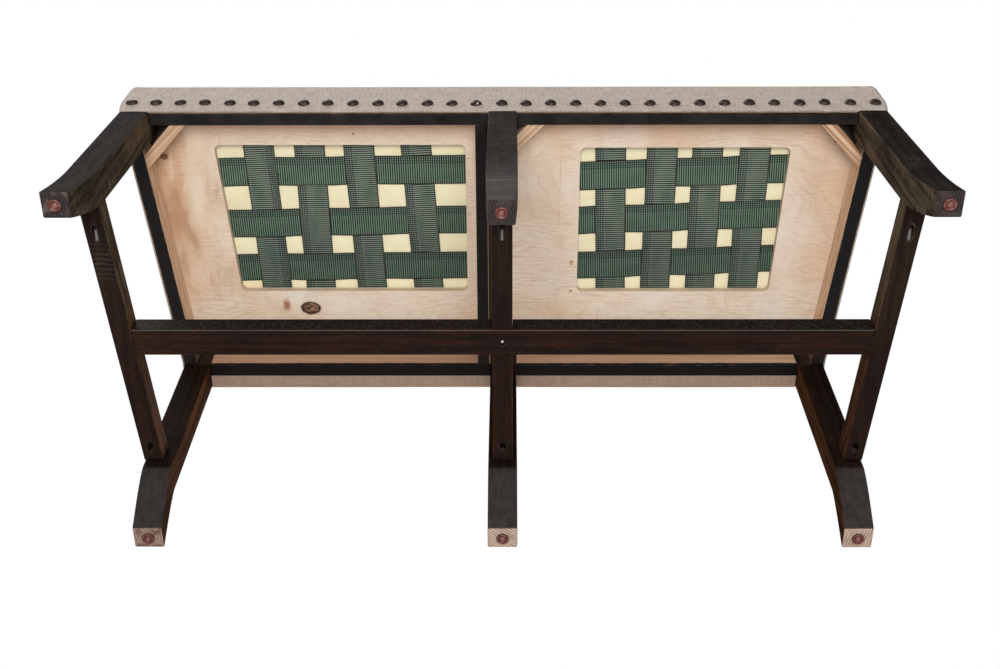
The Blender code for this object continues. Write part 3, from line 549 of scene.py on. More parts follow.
def plywood(place):
    """Rotary-cut birch: pale, with nested contour lines, a knot, stains and layered edges, with
    painted shade behind the front rail and in the corners, and a painted highlight on the left deck.
    """
    hues = colours()
    side, depth, height = parts(place)
    reach = abs(side)
    rise = cloudy(place, (3.4, 8.5, 1.0), 1.5, 0.45)
    ripple = cloudy(place, (26.0, 60.0, 1.0))
    contour = 0.5 + 0.5 * wave((rise + 0.014 * ripple) * 190.0)
    lined = 0.04 + 0.24 * spots(place, (4.0, 6.0, 1.0), 0.40, 0.66)
    drawn = pushed(place, (4.0, 10.0, 1.0), 0.05)
    fibre = cloudy(drawn, (22.0, 620.0, 30.0), 3.0, 0.6)
    vessel = cloudy(drawn, (60.0, 1500.0, 60.0), 2.0, 0.6)
    blush = cloudy(place, (4.5, 7.0, 1.0), 3.0, 0.55)
    pale = spots(place, (7.0, 5.0, 1.0), 0.54, 0.70)
    outer = ramp(reach + 0.10 * (blush - 0.5), 0.42, 0.54)
    outer = outer * ramp(depth, FRONT + 0.38, FRONT + 0.20) * (0.46 - 0.50 * side)
    figure = cloudy(drawn, (34.0, 10.0, 1.0), 2.5, 0.55)
    lively = ramp(side, -0.40, -0.47) * ramp(depth, FRONT + 0.38, FRONT + 0.24)
    lively = 0.10 + 0.60 * lively
    # Stain overspray and painted shade: near black in the front corners behind the corner blocks and
    # in a narrow band left of the middle.
    overspray_and_shade = ramp(reach - depth, 0.474 - FRONT, 0.480 - FRONT)
    overspray_and_shade = most(overspray_and_shade, ramp(side, -0.030, -0.026) * ramp(side, -0.004, -0.010))
    crack = near(side + 0.004 * ripple + 0.012 * (depth - FRONT), CRACK, 0.0011)
    crack = crack * spots(place, (60.0, 26.0, 1.0), 0.48, 0.60, 3.0, 0.6)
    frayed = pushed(place, 190.0, 0.006)
    body = layered(
        mixed(ramp(contour, 0.70, 1.0) * lined, hues.ply, hues.ply_line),
        (ramp(fibre, 0.50, 0.70) * 0.46, 184, 146, 114),
        (ramp(vessel, 0.54, 0.70) * 0.46, 150, 110, 80),
        (ramp(blush, 0.48, 0.70) * 0.50, 218, 184, 150),
        (pale * 0.45, 232, 222, 210),
        # Painted shade: a warm brown band on the deck just behind the front rail.
        (ramp(depth, FRONT + 0.080, FRONT + 0.024) * 0.42, 230, 172, 126),
        (outer, 198, 152, 112),
        # Painted highlight: the pale glossy streak on the left deck.
        (deck_mark(drawn, SHEEN_STREAK, 0.0, 1.0) * 0.60, 236, 220, 198),
        (ramp(figure, 0.46, 0.62) * lively, 180, 142, 112),
        (ramp(figure, 0.44, 0.32) * lively * 0.6, 236, 218, 194),
        (overspray_and_shade * 0.96, 16, 13, 12),
        (crack * 0.45, 150, 116, 88),
        *[(deck_mark(place, mark, 0.8) * 0.8, 178, 132, 88) for mark in TORN_SPOTS],
        (deck_mark(frayed, STREAK, 0.1) * (0.40 + 0.9 * fibre), 146, 80, 50))
    body = knotted(body, place)
    body = layered(
        body,
        (deck_mark(place, NAIL_HOLE, 0.5, 0.01), 70, 52, 42),
        *[(deck_mark(frayed, mark, 0.6) * 0.9, 120, 78, 52) for mark in SPLINTERS])
    wall = 1 - ramp(abs(parts(facing(place))[2]), 0.3, 0.7)
    ply = wave((height - DECK_BOTTOM) * (math.tau / PLY_PITCH))
    cut = mixed(ramp(ply, -0.3, 0.3), tone(226, 210, 186), tone(192, 158, 126))
    cut = layered(cut, (spots(place, 420.0, 0.5, 0.7, 3.0, 0.7) * 0.5, 128, 98, 74))
    relief = 0.5 * fibre + 0.3 * vessel + 0.2 * contour
    return {"Base Color": mixed(wall, body, cut), "Roughness": 0.62 + 0.14 * fibre,
            "Relief": (relief, 0.0003)}


def knotted(body, place):
    """The knot in the left deck: a dark ring around broken brown wood."""
    x, y, wide, deep = KNOT
    uneven = pushed(place, 120.0, 0.004)
    knot = around(uneven, (x, FRONT + y, DECK_BOTTOM), wide, deep, 0.02)
    marks = spots(place, (150.0, 210.0, 1.0), 0.46, 0.62, 3.0, 0.6)
    return layered(
        body,
        (1 - ramp(knot, 0.90, 1.25), 150, 112, 82),
        (1 - ramp(knot, 0.80, 1.00), mixed(marks, tone(78, 56, 42), tone(150, 112, 84))),
        (near(knot, 0.90, 0.20), 40, 26, 20))


def webbing_cloth(place, ribs):
    """Ribbed elastic: pale ribs on a dark ground, bound edges and dark lines near one edge, with
    painted shade towards the rear.
    """
    hues = colours()
    width = sizes().web_width
    cloth = woven_place(place)
    across, run, _ = parts(cloth)
    thread = cloudy(cloth, (900.0, 260.0, 1.0), 2.0, 0.6)
    phase = run * (math.tau / sizes().rib_pitch)
    uneven = cloudy(cloth, (40.0, 400.0, 1.0))
    rib = 0.5 + 0.5 * phase.math("COSINE", phase) + 0.2 * (uneven - 0.5)
    rib = ramp(rib, 0.40, 0.72)
    tint = spots(cloth, (60.0, 14.0, 1.0), 0.4, 0.65)
    pale = mixed(tint * 0.4, ribs, tone(96, 118, 100))
    # Painted shade: the webbing darkens towards the rear of the seat.
    rear_falloff_shade = ramp(parts(place)[1], FRONT + 0.14, FRONT + 0.30)
    warp = 0.5 + 0.5 * wave(across * (math.tau / WARP_PITCH))
    lines = [near(across, middle, reach) for middle, reach in WEB_LINES]
    lines = most(most(lines[0], lines[1]), lines[2])
    rim = most(
        ramp(across, *WEB_RIM), ramp(across, *[width - inset for inset in WEB_RIM]))
    binding = mixed(ramp(rib, 0.3, 0.7) * 0.5, tone(16, 17, 15), tone(84, 64, 38))
    body = layered(
        mixed(rib, hues.web_dark, pale),
        (rear_falloff_shade * 0.26, hues.web_dark),
        (ramp(warp, 0.62, 1.0) * 0.22, 34, 52, 44),
        (lines * (0.70 + 0.25 * thread), 16, 20, 22),
        (rim * 0.95, binding),
        (ramp(thread, 0.55, 0.8) * 0.15, 140, 152, 138))
    relief = 0.6 * rib + 0.4 * thread
    return {"Base Color": body, "Roughness": 0.72 + 0.2 * thread, "Relief": (relief, 0.0003)}


def foam_skin(place):
    """Open-cell foam: cream, finely pitted, a little deeper in colour in patches."""
    cells = place.make("ShaderNodeTexVoronoi", {}, {"Vector": place, "Scale": 900.0}, "Distance")
    fine = cloudy(place, 500.0, 3.0, 0.6)
    patch = spots(place, 26.0, 0.4, 0.7, 3.0, 0.5)
    body = layered(
        mixed(patch * 0.35, colours().foam, tone(232, 212, 160)),
        (ramp(fine, 0.56, 0.74) * 0.22, 206, 184, 132))
    relief = 0.6 * cells + 0.4 * fine
    return {"Base Color": body, "Roughness": 0.86 + 0.1 * fine, "Relief": (relief, 0.0003)}


def linen_cloth(place):
    """Plain linen: crossing threads of uneven thickness, with slubs both ways, and a painted warm
    reflection under the rear hem.
    """
    hues = colours()
    cloth = woven_place(place)
    drawn = pushed(cloth, (8.0, 8.0, 1.0), 0.0024)
    weft = cloudy(drawn, (36.0, 720.0, 1.0), 2.0, 0.6)
    warp = cloudy(drawn, (720.0, 36.0, 1.0), 2.0, 0.6)
    slub = cloudy(drawn, (34.0, 400.0, 1.0))
    stroke = cloudy(drawn, (400.0, 40.0, 1.0))
    over, under = [wave(thread * (math.tau / THREAD_PITCH)) for thread in parts(drawn)[:2]]
    weave = over * under
    shade = 0.5 * ramp(weft, 0.35, 0.7) + 0.5 * ramp(warp, 0.35, 0.7)
    patch = spots(cloth, 6.0, 0.42, 0.7)
    # Painted reflection: a warm brown cast under the rear hem, for light thrown back from the wood.
    rear_hem_bounce = ramp(parts(place)[1], FRONT + 0.455, FRONT + 0.465)
    rear_hem_bounce = rear_hem_bounce * ramp(parts(facing(place))[2], -0.3, -0.7)
    body = layered(
        mixed(shade, hues.linen, hues.linen_dark),
        (ramp(slub, 0.50, 0.64) * 0.60, 208, 195, 181),
        (ramp(stroke, 0.50, 0.64) * 0.50, 138, 120, 104),
        (ramp(weave, 0.1, 0.9) * 0.22, 206, 195, 184),
        (patch * 0.18, 176, 160, 146),
        (rear_hem_bounce * 0.5, 196, 154, 124))
    relief = 0.45 * weave + 0.6 * slub + 0.6 * stroke
    return {"Base Color": body, "Roughness": 0.82 + 0.12 * weft, "Relief": (relief, 0.00045)}


def bronze_metal(place):
    """Dark antique bronze, a little hammered, lighter on the marks and darker in patches."""
    hammered = cloudy(place, 260.0, 3.0, 0.55)
    patch = cloudy(place, 55.0, 3.0, 0.6)
    body = layered(
        mixed(ramp(hammered, 0.50, 0.76) * 0.8, colours().bronze, tone(102, 76, 60)),
        (ramp(patch, 0.55, 0.75) * 0.5, 28, 22, 21))
    return {"Base Color": body, "Roughness": 0.34 + 0.3 * patch, "Relief": (hammered, 0.0004)}


def chipped_metal(place):
    """The one nail whose bronze has flaked and shows bright metal."""
    patch = cloudy(place, 150.0, 4.0, 0.6)
    flake = ramp(patch, 0.52, 0.57)
    body = mixed(flake, colours().bronze, tone(206, 190, 168))
    return {"Base Color": body, "Roughness": 0.48 - 0.15 * flake, "Relief": (patch, 0.0006)}


def moulded_glide(place):
    """Red-brown moulded plastic with scuffs on the face, dark rings at the rim and around the
    middle, and a painted highlight on the middle.
    """
    patch = cloudy(place, 210.0, 4.0, 0.6)
    scuff = spots(place, (300.0, 90.0, 300.0), 0.52, 0.68, 4.0, 0.65)
    ring = place.make("ShaderNodeAttribute", {"attribute_name": "ring"}, {}, "Fac")
    body = layered(
        mixed(ramp(patch, 0.4, 0.65), colours().glide, tone(88, 42, 38)),
        (scuff * 0.50, 168, 118, 106),
        (near(ring, 0.60, 0.12) * 0.6, 58, 26, 25),
        # Painted highlight: the middle of the face is lighter.
        ((1 - ramp(ring, 0.20, 0.46)) * 0.40, 170, 118, 108),
        (ramp(ring, 0.88, 0.98) * 0.7, 52, 28, 27))
    return {"Base Color": body, "Roughness": 0.30 + 0.3 * patch, "Relief": (patch, 0.0003)}


def lap_steel(place):
    """A screw head with a painted highlight in its middle and painted shade around it, where it sits
    sunk in its hole.
    """
    low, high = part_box("stretcher_screw_lap")
    half = (high.x - low.x) / 2
    rim = around(place, (low + high) / 2, half, half, 1.0)
    # Painted highlight in the middle of the head, painted shade around it.
    body = mixed(ramp(rim, 0.30, 0.52), tone(226, 226, 228), tone(34, 26, 24))
    return {"Base Color": body, "Roughness": 0.35 + 0.3 * rim}


def turned_steel(place, light, dark, rough):
    """Steel with fine turning marks."""
    marks = cloudy(place, (500.0, 900.0, 500.0), 3.0, 0.6)
    body = mixed(ramp(marks, 0.4, 0.7), light, dark)
    return {"Base Color": body, "Roughness": rough + 0.2 * marks, "Relief": (marks, 0.0001)}


# Modelling helpers

def deselect():
    if bpy.context.object and bpy.context.object.mode != "OBJECT":
        bpy.ops.object.mode_set(mode="OBJECT")
    bpy.ops.object.select_all(action="DESELECT")


def only(piece):
    """Make one piece the chosen one."""
    deselect()
    piece.select_set(True)
    bpy.context.view_layer.objects.active = piece


def edit(piece):
    """Open a piece for editing, with none of its edges selected."""
    only(piece)
    bpy.ops.object.mode_set(mode="EDIT")
    bpy.ops.mesh.select_mode(type="EDGE")
    bpy.ops.mesh.select_all(action="DESELECT")
    return bmesh.from_edit_mesh(piece.data)


def close():
    bpy.ops.object.mode_set(mode="OBJECT")


def current(name):
    """The piece that was just added, under its name."""
    piece = bpy.context.object
    piece.name = name
    piece.data.name = name
    return piece


def settled(piece):
    """Put the piece's place into its mesh."""
    only(piece)
    bpy.ops.object.transform_apply(location=True, rotation=True, scale=True)


def applied(piece):
    """Apply the piece's modifiers in order."""
    only(piece)
    for modifier in list(piece.modifiers):
        bpy.ops.object.modifier_apply(modifier=modifier.name)


def smooth(piece, angle=60):
    only(piece)
    bpy.ops.object.shade_smooth_by_angle(angle=math.radians(angle))


def thickened(piece, thickness, offset):
    """Give a skin its thickness: inwards at -1, outwards at 1."""
    skin = piece.modifiers.new("skin", "SOLIDIFY")
    skin.thickness = thickness
    skin.offset = offset
    applied(piece)


def dressed(piece, material, slot, *stands_for):
    """Give a new piece its material and its place on the settee. The slot is not used."""
    piece.data.materials.clear()
    piece.data.materials.append(material)
    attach(piece, "root")
    if stands_for:
        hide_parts(*stands_for)
    return piece


def recoat(material, *names):
    """Give CAD pieces a finish."""
    for name in names:
        node = nodes[name]
        node.data.materials.clear()
        node.data.materials.append(material)


def lay_cloth(piece, coords):
    """Write the cloth's map: coords(face, vertex) is the spot on the cloth, in metres."""
    mesh = piece.data
    layer = mesh.uv_layers.get("cloth") or mesh.uv_layers.new(name="cloth")
    for face in mesh.polygons:
        for corner in face.loop_indices:
            vert = mesh.vertices[mesh.loops[corner].vertex_index]
            layer.data[corner].uv = coords(face, vert)


def flat_side(face, vert):
    """A spot on the cloth as seen along the side's main direction."""
    x, y, z = [abs(value) for value in face.normal]
    spot = vert.co
    if x > max(y, z):
        return (spot.y, spot.z)
    return (spot.x, spot.z) if y > z else (spot.x, spot.y)


def clamped(value):
    return min(max(value, 0.0), 1.0)


def wobble(place, scale, amount, seed):
    """A small steady unevenness for hand-made surfaces."""
    return noise.noise(Vector(place) * scale + Vector((seed, 2 * seed, 3 * seed))) * amount


def plump(height):
    """How far the padding stands out at a height above the cover's hem, from 0 to 1."""
    share = clamped((height - HEM) / PLUMP_RISE)
    return share * (2 - share)


def swell(share):
    """0 at both ends and 1 in the middle."""
    return 1 - (2 * clamped(share) - 1) ** 2


def box_piece(name, place):
    """A cube whose corners are put at place(x, y, z), each -1 or 1."""
    deselect()
    bpy.ops.mesh.primitive_cube_add(size=2)
    piece = current(name)
    for vert in piece.data.vertices:
        vert.co = place(*[round(value) for value in vert.co])
    return piece


def grid_piece(name, place, columns, rows):
    """A grid of points: place(across, onward), each -1 to 1, gives a point and its cloth spot.

    A piece that isn't woven has None for the spot."""
    deselect()
    bpy.ops.mesh.primitive_grid_add(x_subdivisions=columns, y_subdivisions=rows, size=2)
    piece = current(name)
    coords = {}
    for vert in piece.data.vertices:
        vert.co, coords[vert.index] = place(vert.co.x, vert.co.y)
    if None not in coords.values():
        lay_cloth(piece, lambda face, vert: coords[vert.index])
    return piece


def turned_piece(name, sides, profile, peak=None):
    """A ring raised through a profile of radii and heights, closed at both ends."""
    deselect()
    radius, height = profile[0]
    bpy.ops.mesh.primitive_circle_add(vertices=sides, radius=radius)
    piece = current(name)
    edit(piece)
    bpy.ops.mesh.select_all(action="SELECT")
    bpy.ops.transform.translate(value=(0, 0, height))
    for wide, level in profile[1:]:
        raised(level - height)
        bpy.ops.transform.resize(
            value=(wide / radius, wide / radius, 1), center_override=(0, 0, level))
        radius, height = wide, level
    if peak:
        raised(peak - height)
        bpy.ops.mesh.merge(type="CENTER")
    bpy.ops.mesh.select_all(action="SELECT")
    bpy.ops.mesh.remove_doubles(threshold=0.00002)
    bpy.ops.mesh.fill_holes(sides=0)
    bpy.ops.mesh.normals_make_consistent(inside=False)
    close()
    return piece


def raised(rise):
    bpy.ops.mesh.extrude_region_move(TRANSFORM_OT_translate={"value": (0, 0, rise)})


def open_side(piece, *directions):
    """Remove the sides of a box that face these directions."""
    shape = edit(piece)
    for face in shape.faces:
        face.select_set(any(face.normal.dot(Vector(way)) > 0.9 for way in directions))
    bmesh.update_edit_mesh(piece.data)
    bpy.ops.mesh.delete(type="FACE")
    close()


def round_edges(piece, chosen, offset, segments):
    """Bevel the edges that chosen(middle, way) picks."""
    shape = edit(piece)
    for edge in shape.edges:
        if edge.is_boundary:
            continue
        start, end = [vert.co for vert in edge.verts]
        edge.select_set(bool(chosen((start + end) / 2, (end - start).normalized())))
    bmesh.update_edit_mesh(piece.data)
    bpy.ops.mesh.bevel(offset=offset, segments=segments, affect="EDGES", clamp_overlap=True)
    close()


def sliced(piece, pitch):
    """Cut the piece by evenly spaced planes along X, Y and Z, so that it can bend."""
    low = [min(vert.co[axis] for vert in piece.data.vertices) for axis in range(3)]
    high = [max(vert.co[axis] for vert in piece.data.vertices) for axis in range(3)]
    edit(piece)
    for axis in range(3):
        count = max(1, round((high[axis] - low[axis]) / pitch))
        way = [0.0, 0.0, 0.0]
        way[axis] = 1.0
        for step in range(1, count):
            spot = [0.0, 0.0, 0.0]
            spot[axis] = low[axis] + (high[axis] - low[axis]) * step / count
            bpy.ops.mesh.select_all(action="SELECT")
            bpy.ops.mesh.bisect(plane_co=spot, plane_no=way)
    bpy.ops.mesh.select_all(action="SELECT")
    bpy.ops.mesh.remove_doubles(threshold=0.0004)
    close()


def inflated(piece, held):
    """Swell the padding with a short cloth simulation, and keep each point within the cap."""
    rest = [(vert.co.copy(), vert.normal.copy()) for vert in piece.data.vertices]
    pins = piece.vertex_groups.new(name="held")
    pins.add([vert.index for vert in piece.data.vertices if held(vert.co)], 1.0, "REPLACE")
    cloth = piece.modifiers.new("padding", "CLOTH")
    stiffness = {"tension_stiffness": 12, "compression_stiffness": 12, "bending_stiffness": 1.2}
    pressure = {"use_pressure": True, "uniform_pressure_force": 4.0}
    body = {"quality": 5, "mass": 0.25, "vertex_group_mass": "held"}
    for key, value in {**body, **stiffness, **pressure}.items():
        setattr(cloth.settings, key, value)
    cloth.settings.effector_weights.gravity = 0
    cloth.collision_settings.use_collision = False
    scene = bpy.context.scene
    for step in range(1, CLOTH_FRAMES + 1):
        scene.frame_set(step)
    graph = bpy.context.evaluated_depsgraph_get()
    swollen = [vert.co.copy() for vert in piece.evaluated_get(graph).data.vertices]
    piece.modifiers.remove(cloth)
    scene.frame_set(1)
    cap = sizes().cloth_cap
    for vert, (before, way), after in zip(piece.data.vertices, rest, swollen):
        move = after - before
        move -= way * min(0.0, move.dot(way))
        if move.length > cap:
            move = move.normalized() * cap
        vert.co = before + move
    piece.vertex_groups.clear()


def linen():
    """The settee's linen, made once for all its covers."""
    return bpy.data.materials.get("settee_linen") or finish(
        "settee_linen", linen_cloth, 0.2, {"Sheen Weight": 0.25, "Sheen Roughness": 0.5})


def upholstered(piece, *stands_for):
    """Turn a cover's shape into linen: mapped, subdivided once and thickened inwards."""
    lay_cloth(piece, flat_side)
    finer = piece.modifiers.new("finer", "SUBSURF")
    finer.levels = 1
    finer.render_levels = 1
    thickened(piece, sizes().cover_thick, -1)
    smooth(piece, 70)
    dressed(piece, linen(), "linen", *stands_for)


# Operators

class SETTEE_OT_legs(bpy.types.Operator):
    """Stain the legs and stretchers"""
    bl_idname = "settee.legs"
    bl_label = "Legs and stretchers"

    def execute(self, context):
        hues = colours()
        recoat(finish(
            "front_leg_stain", stained_wood, 0.004, grain=2, stain=hues.leg_stain,
            under=hues.olive, sides=0.72, thinness=0.12, figured=0.34), *LEGS)
        recoat(finish(
            "rear_leg_stain", stained_wood, 0.008, grain=2, stain=hues.post_stain,
            under=hues.russet, sides=0.84, thinness=0.12), *POSTS)
        recoat(finish(
            "stretcher_stain", stained_wood, 0.04, grain=1, stain=hues.bar_stain,
            under=hues.russet, sides=0.78, thinness=0.12),
            "side_stretcher_left", "side_stretcher_right", "centre_stretcher")
        recoat(finish(
            "long_stretcher_stain", stained_wood, 0.04, grain=0, stain=hues.bar_stain,
            under=hues.russet), "long_stretcher")
        return {"FINISHED"}


class SETTEE_OT_seat_frame(bpy.types.Operator):
    """Finish the rails, the corner blocks and the decks"""
    bl_idname = "settee.seat_frame"
    bl_label = "Seat frame"

    def execute(self, context):
        self.softwood("rail_wood", "front_rail_left", "front_rail_right")
        # The rear rails' wood and paint carry painted shade.
        self.softwood(
            "rear_rail_wood", "rear_rail_left", "rear_rail_right", dull=0.45, band=0.0074)
        self.softwood("side_rail_wood", "side_rail_left", "side_rail_right", "cross_rail", grain=1)
        self.softwood(
            "corner_block_wood_left", "corner_block_front_left", "corner_block_front_centre",
            painted=False, turn=45)
        self.softwood(
            "corner_block_wood_right", "corner_block_front_right", painted=False, turn=-45)
        self.softwood("back_rail_wood", "back_top_rail", painted=False)
        recoat(finish("deck_plywood", plywood, 0.2), "seat_deck_left", "seat_deck_right",
               "back_panel")
        return {"FINISHED"}

    def softwood(self, name, *pieces, grain=0, **choices):
        recoat(finish(name, raw_softwood, 0.12, grain=grain, **choices), *pieces)


class SETTEE_OT_screws(bpy.types.Operator):
    """Plate the stretchers' screws"""
    bl_idname = "settee.screws"
    bl_label = "Screws"

    def execute(self, context):
        screws = [name for name in nodes if name.startswith("stretcher_screw")]
        bright = finish(
            "screw_steel", turned_steel, 0.5, {"Metallic": 1.0},
            light=colours().steel, dark=tone(128, 128, 132), rough=0.28)
        black = finish(
            "screw_black", turned_steel, 0.2,
            light=tone(24, 22, 22), dark=tone(44, 40, 38), rough=0.6)
        recoat(bright, *[name for name in screws if "front" in name])
        recoat(black, *[name for name in screws if "rear" in name])
        recoat(finish("screw_lap", lap_steel, 0.5, {"Metallic": 0.3}), "stretcher_screw_lap")
        return {"FINISHED"}


class SETTEE_OT_webbing(bpy.types.Operator):
    """Weave the elastic webbing under the seat"""
    bl_idname = "settee.webbing"
    bl_label = "Webbing"

    def execute(self, context):
        # One webbing in two copies: the long strips' darker ribs are painted shade.
        cross, lengthways = [
            finish("webbing_elastic_" + way, webbing_cloth, 0.25, ribs=ribs)
            for way, ribs in (("cross", colours().web_cross), ("long", colours().web_long_shaded))]
        for name in sorted(nodes):
            if name.startswith("webbing_"):
                self.strip(name, cross if "cross" in name else lengthways)
        return {"FINISHED"}

    def strip(self, name, material):
        start, end, levels = self.route(name)
        run = end - start
        way = run.normalized()
        side = Vector((-way.y, way.x, 0))
        width = self.width(name, side)
        flipped = "cross" in name and name != "webbing_left_cross_1"
        pitch = sizes().rib_pitch
        seed = sum(map(ord, name))

        def place(across, onward):
            distance = (onward + 1) / 2 * run.length
            rib = math.cos(math.tau * distance / pitch) * sizes().rib_rise
            edge = max(0.0, abs(across) - 0.9) * 0.004
            spot = start + way * distance + side * (across * width / 2)
            spot = spot + side * wobble((distance, 0, 0), 22, 0.0006, seed)
            z = self.level(levels, distance) - rib * (1 - abs(across) ** 6) + edge
            return (spot.x, spot.y, z), (
                (1 - across if flipped else 1 + across) * width / 2, distance)

        rows = max(8, round(run.length / pitch * 4))
        piece = grid_piece(name + "_strip", place, columns=10, rows=rows)
        thickened(piece, sizes().web_thick, 0)
        smooth(piece, 50)
        dressed(piece, material, "webbing", name)

    def route(self, name):
        """The strip's two ends and its height along the way, read from the frame."""
        spots = [vert.co.copy() for vert in nodes[name].data.vertices]
        axis = 1 if "cross" in name else 0
        ends = []
        for limit in (min, max):
            edge = limit(spot[axis] for spot in spots)
            close_by = [spot for spot in spots if abs(spot[axis] - edge) < WEB_END]
            ends.append(sum(close_by, Vector()) / len(close_by))
        start, end = ends
        way = (end - start).normalized()
        heights = {}
        for spot in spots:
            key = round((spot - start).dot(way) / WEB_STEP)
            heights.setdefault(key, []).append(spot.z)
        levels = [(key * WEB_STEP, sum(column) / len(column))
                  for key, column in sorted(heights.items())]
        return Vector((start.x, start.y, 0)), Vector((end.x, end.y, 0)), levels

    def width(self, name, side):
        reach = [vert.co.dot(side) for vert in nodes[name].data.vertices]
        low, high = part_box(name)
        slack = abs(side.x) * (high.x - low.x) + abs(side.y) * (high.y - low.y)
        return min(sizes().web_width, max(reach) - min(reach), slack)

    def level(self, levels, distance):
        """Height of the strip: level over each crossing, easing between them."""
        if distance <= levels[0][0]:
            return levels[0][1]
        for (here, low), (there, high) in zip(levels, levels[1:]):
            if distance <= there:
                share = (distance - here) / max(there - here, 1e-6)
                share = share * share * (3 - 2 * share)
                return low + (high - low) * share
        return levels[-1][1]


class SETTEE_OT_seat_foam(bpy.types.Operator):
    """Fill the seat with foam that swells between the webbing strips"""
    bl_idname = "settee.seat_foam"
    bl_label = "Seat foam"

    def execute(self, context):
        low, high = FOAM_LOW, FOAM_HIGH
        boxes = [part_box(name) for name in nodes if name.startswith("webbing_")]
        front_half = high.x - FOAM_INSET
        rear_half = REAR_HALF - FOAM_INSET

        def place(across, onward):
            share = (onward + 1) / 2
            y = low.y + FOAM_MARGIN + (high.y - low.y - 2 * FOAM_MARGIN) * share
            x = across * (front_half + (rear_half - front_half) * share)
            sag = sizes().foam_swell * self.freedom(boxes, x, y)
            return (x, y, low.z + FOAM_LIFT - sag), None

        piece = grid_piece("seat_foam_block", place, columns=190, rows=74)
        thickened(piece, sizes().foam_thick, 1)
        smooth(piece, 40)
        dressed(piece, finish("seat_foam_cells", foam_skin, 0.15), "foam", "seat_foam")
        return {"FINISHED"}

    def freedom(self, boxes, x, y):
        """0 on a strip, rising to 1 in the middle of a gap between strips."""
        widest = sizes().foam_gap
        gap = widest
        for low, high in boxes:
            gap = min(gap, max(low.x - x, x - high.x, low.y - y, y - high.y, 0.0))
        return math.sin(gap / widest * math.pi / 2)


class SETTEE_OT_seat_cover(bpy.types.Operator):
    """Pull the linen cover over the seat"""
    bl_idname = "settee.seat_cover"
    bl_label = "Seat cover"

    def execute(self, context):
        rear = COVER_HIGH.y
        front_half = COVER_HIGH.x
        taper = (front_half - REAR_HALF) / (TAPER_END - FRONT)
        rear_half = front_half - taper * (rear - FRONT)

        def corner(x, y, z):
            half = rear_half if y > 0 else front_half
            return (x * half, rear if y > 0 else FRONT, SEAT_EDGE if z > 0 else HEM)

        piece = box_piece("seat_linen", corner)
        open_side(piece, (0, 1, 0), (0, 0, -1))
        round_edges(piece, lambda middle, way: abs(way.z) > 0.9, sizes().soft_corner, segments=4)
        round_edges(
            piece, lambda middle, way: abs(middle.z - SEAT_EDGE) < 0.001,
            sizes().soft_edge, segments=5)
        sliced(piece, sizes().cloth_pitch)
        reach = CROWN_END - FRONT
        for vert in piece.data.vertices:
            spot = vert.co
            lift = clamped((spot.z - RAIL_TOP) / (SEAT_EDGE - RAIL_TOP))
            half = front_half + (rear_half - front_half) * (spot.y - FRONT) / (rear - FRONT)
            crown = swell((spot.x / half + 1) / 2) * swell((spot.y - FRONT) / reach)
            spot.z += lift ** 3 * (sizes().seat_crown * crown + wobble(spot, 9, 0.0011, 3))
            out = plump(spot.z)
            spot.y -= out * sizes().front_bulge * max(0.0, 1 - (spot.y - FRONT) / FRONT_FADE)
            aft = 1 - 0.7 * min(1.0, (spot.y - FRONT) / reach)
            bulge = sizes().side_bulge * aft * spot.x / half
            spot.x += out * (bulge + wobble(spot, 12, 0.0004, 5))
        self.flaps(piece, rear)
        inflated(piece, lambda spot: spot.z < RAIL_TOP or spot.y > rear - HELD_EDGE)
        upholstered(piece, "seat_cover")
        return {"FINISHED"}

    def flaps(self, piece, rear):
        """Carry the linen of both sides back over the posts."""
        crest = SEAT_EDGE - sizes().soft_edge + FLAP_CREST
        shape = edit(piece)
        for edge in shape.edges:
            edge.select_set(edge.is_boundary and all(
                end.co.y > rear - 0.001 and abs(end.co.x) > REAR_HALF - 0.001
                and end.co.z < crest for end in edge.verts))
        bmesh.update_edit_mesh(piece.data)
        for step in FLAP_STEPS:
            bpy.ops.mesh.extrude_region_move(TRANSFORM_OT_translate={"value": (0, step, 0)})
        close()
        behind = [vert.co for vert in piece.data.vertices if vert.co.y > rear + 0.001]
        highest = max(spot.z for spot in behind)
        for spot in behind:
            share = min(1.0, (spot.y - rear) / FLAP_EASE)
            rise = SEAT_EDGE + FLAP_RISE - highest
            spot.z += share * rise * (spot.z - HEM) / (highest - HEM)
            clear = REAR_HALF + sizes().cover_thick + FLAP_CLEAR
            spot.x = math.copysign(max(abs(spot.x) - FLAP_DRAW * share, clear), spot.x)


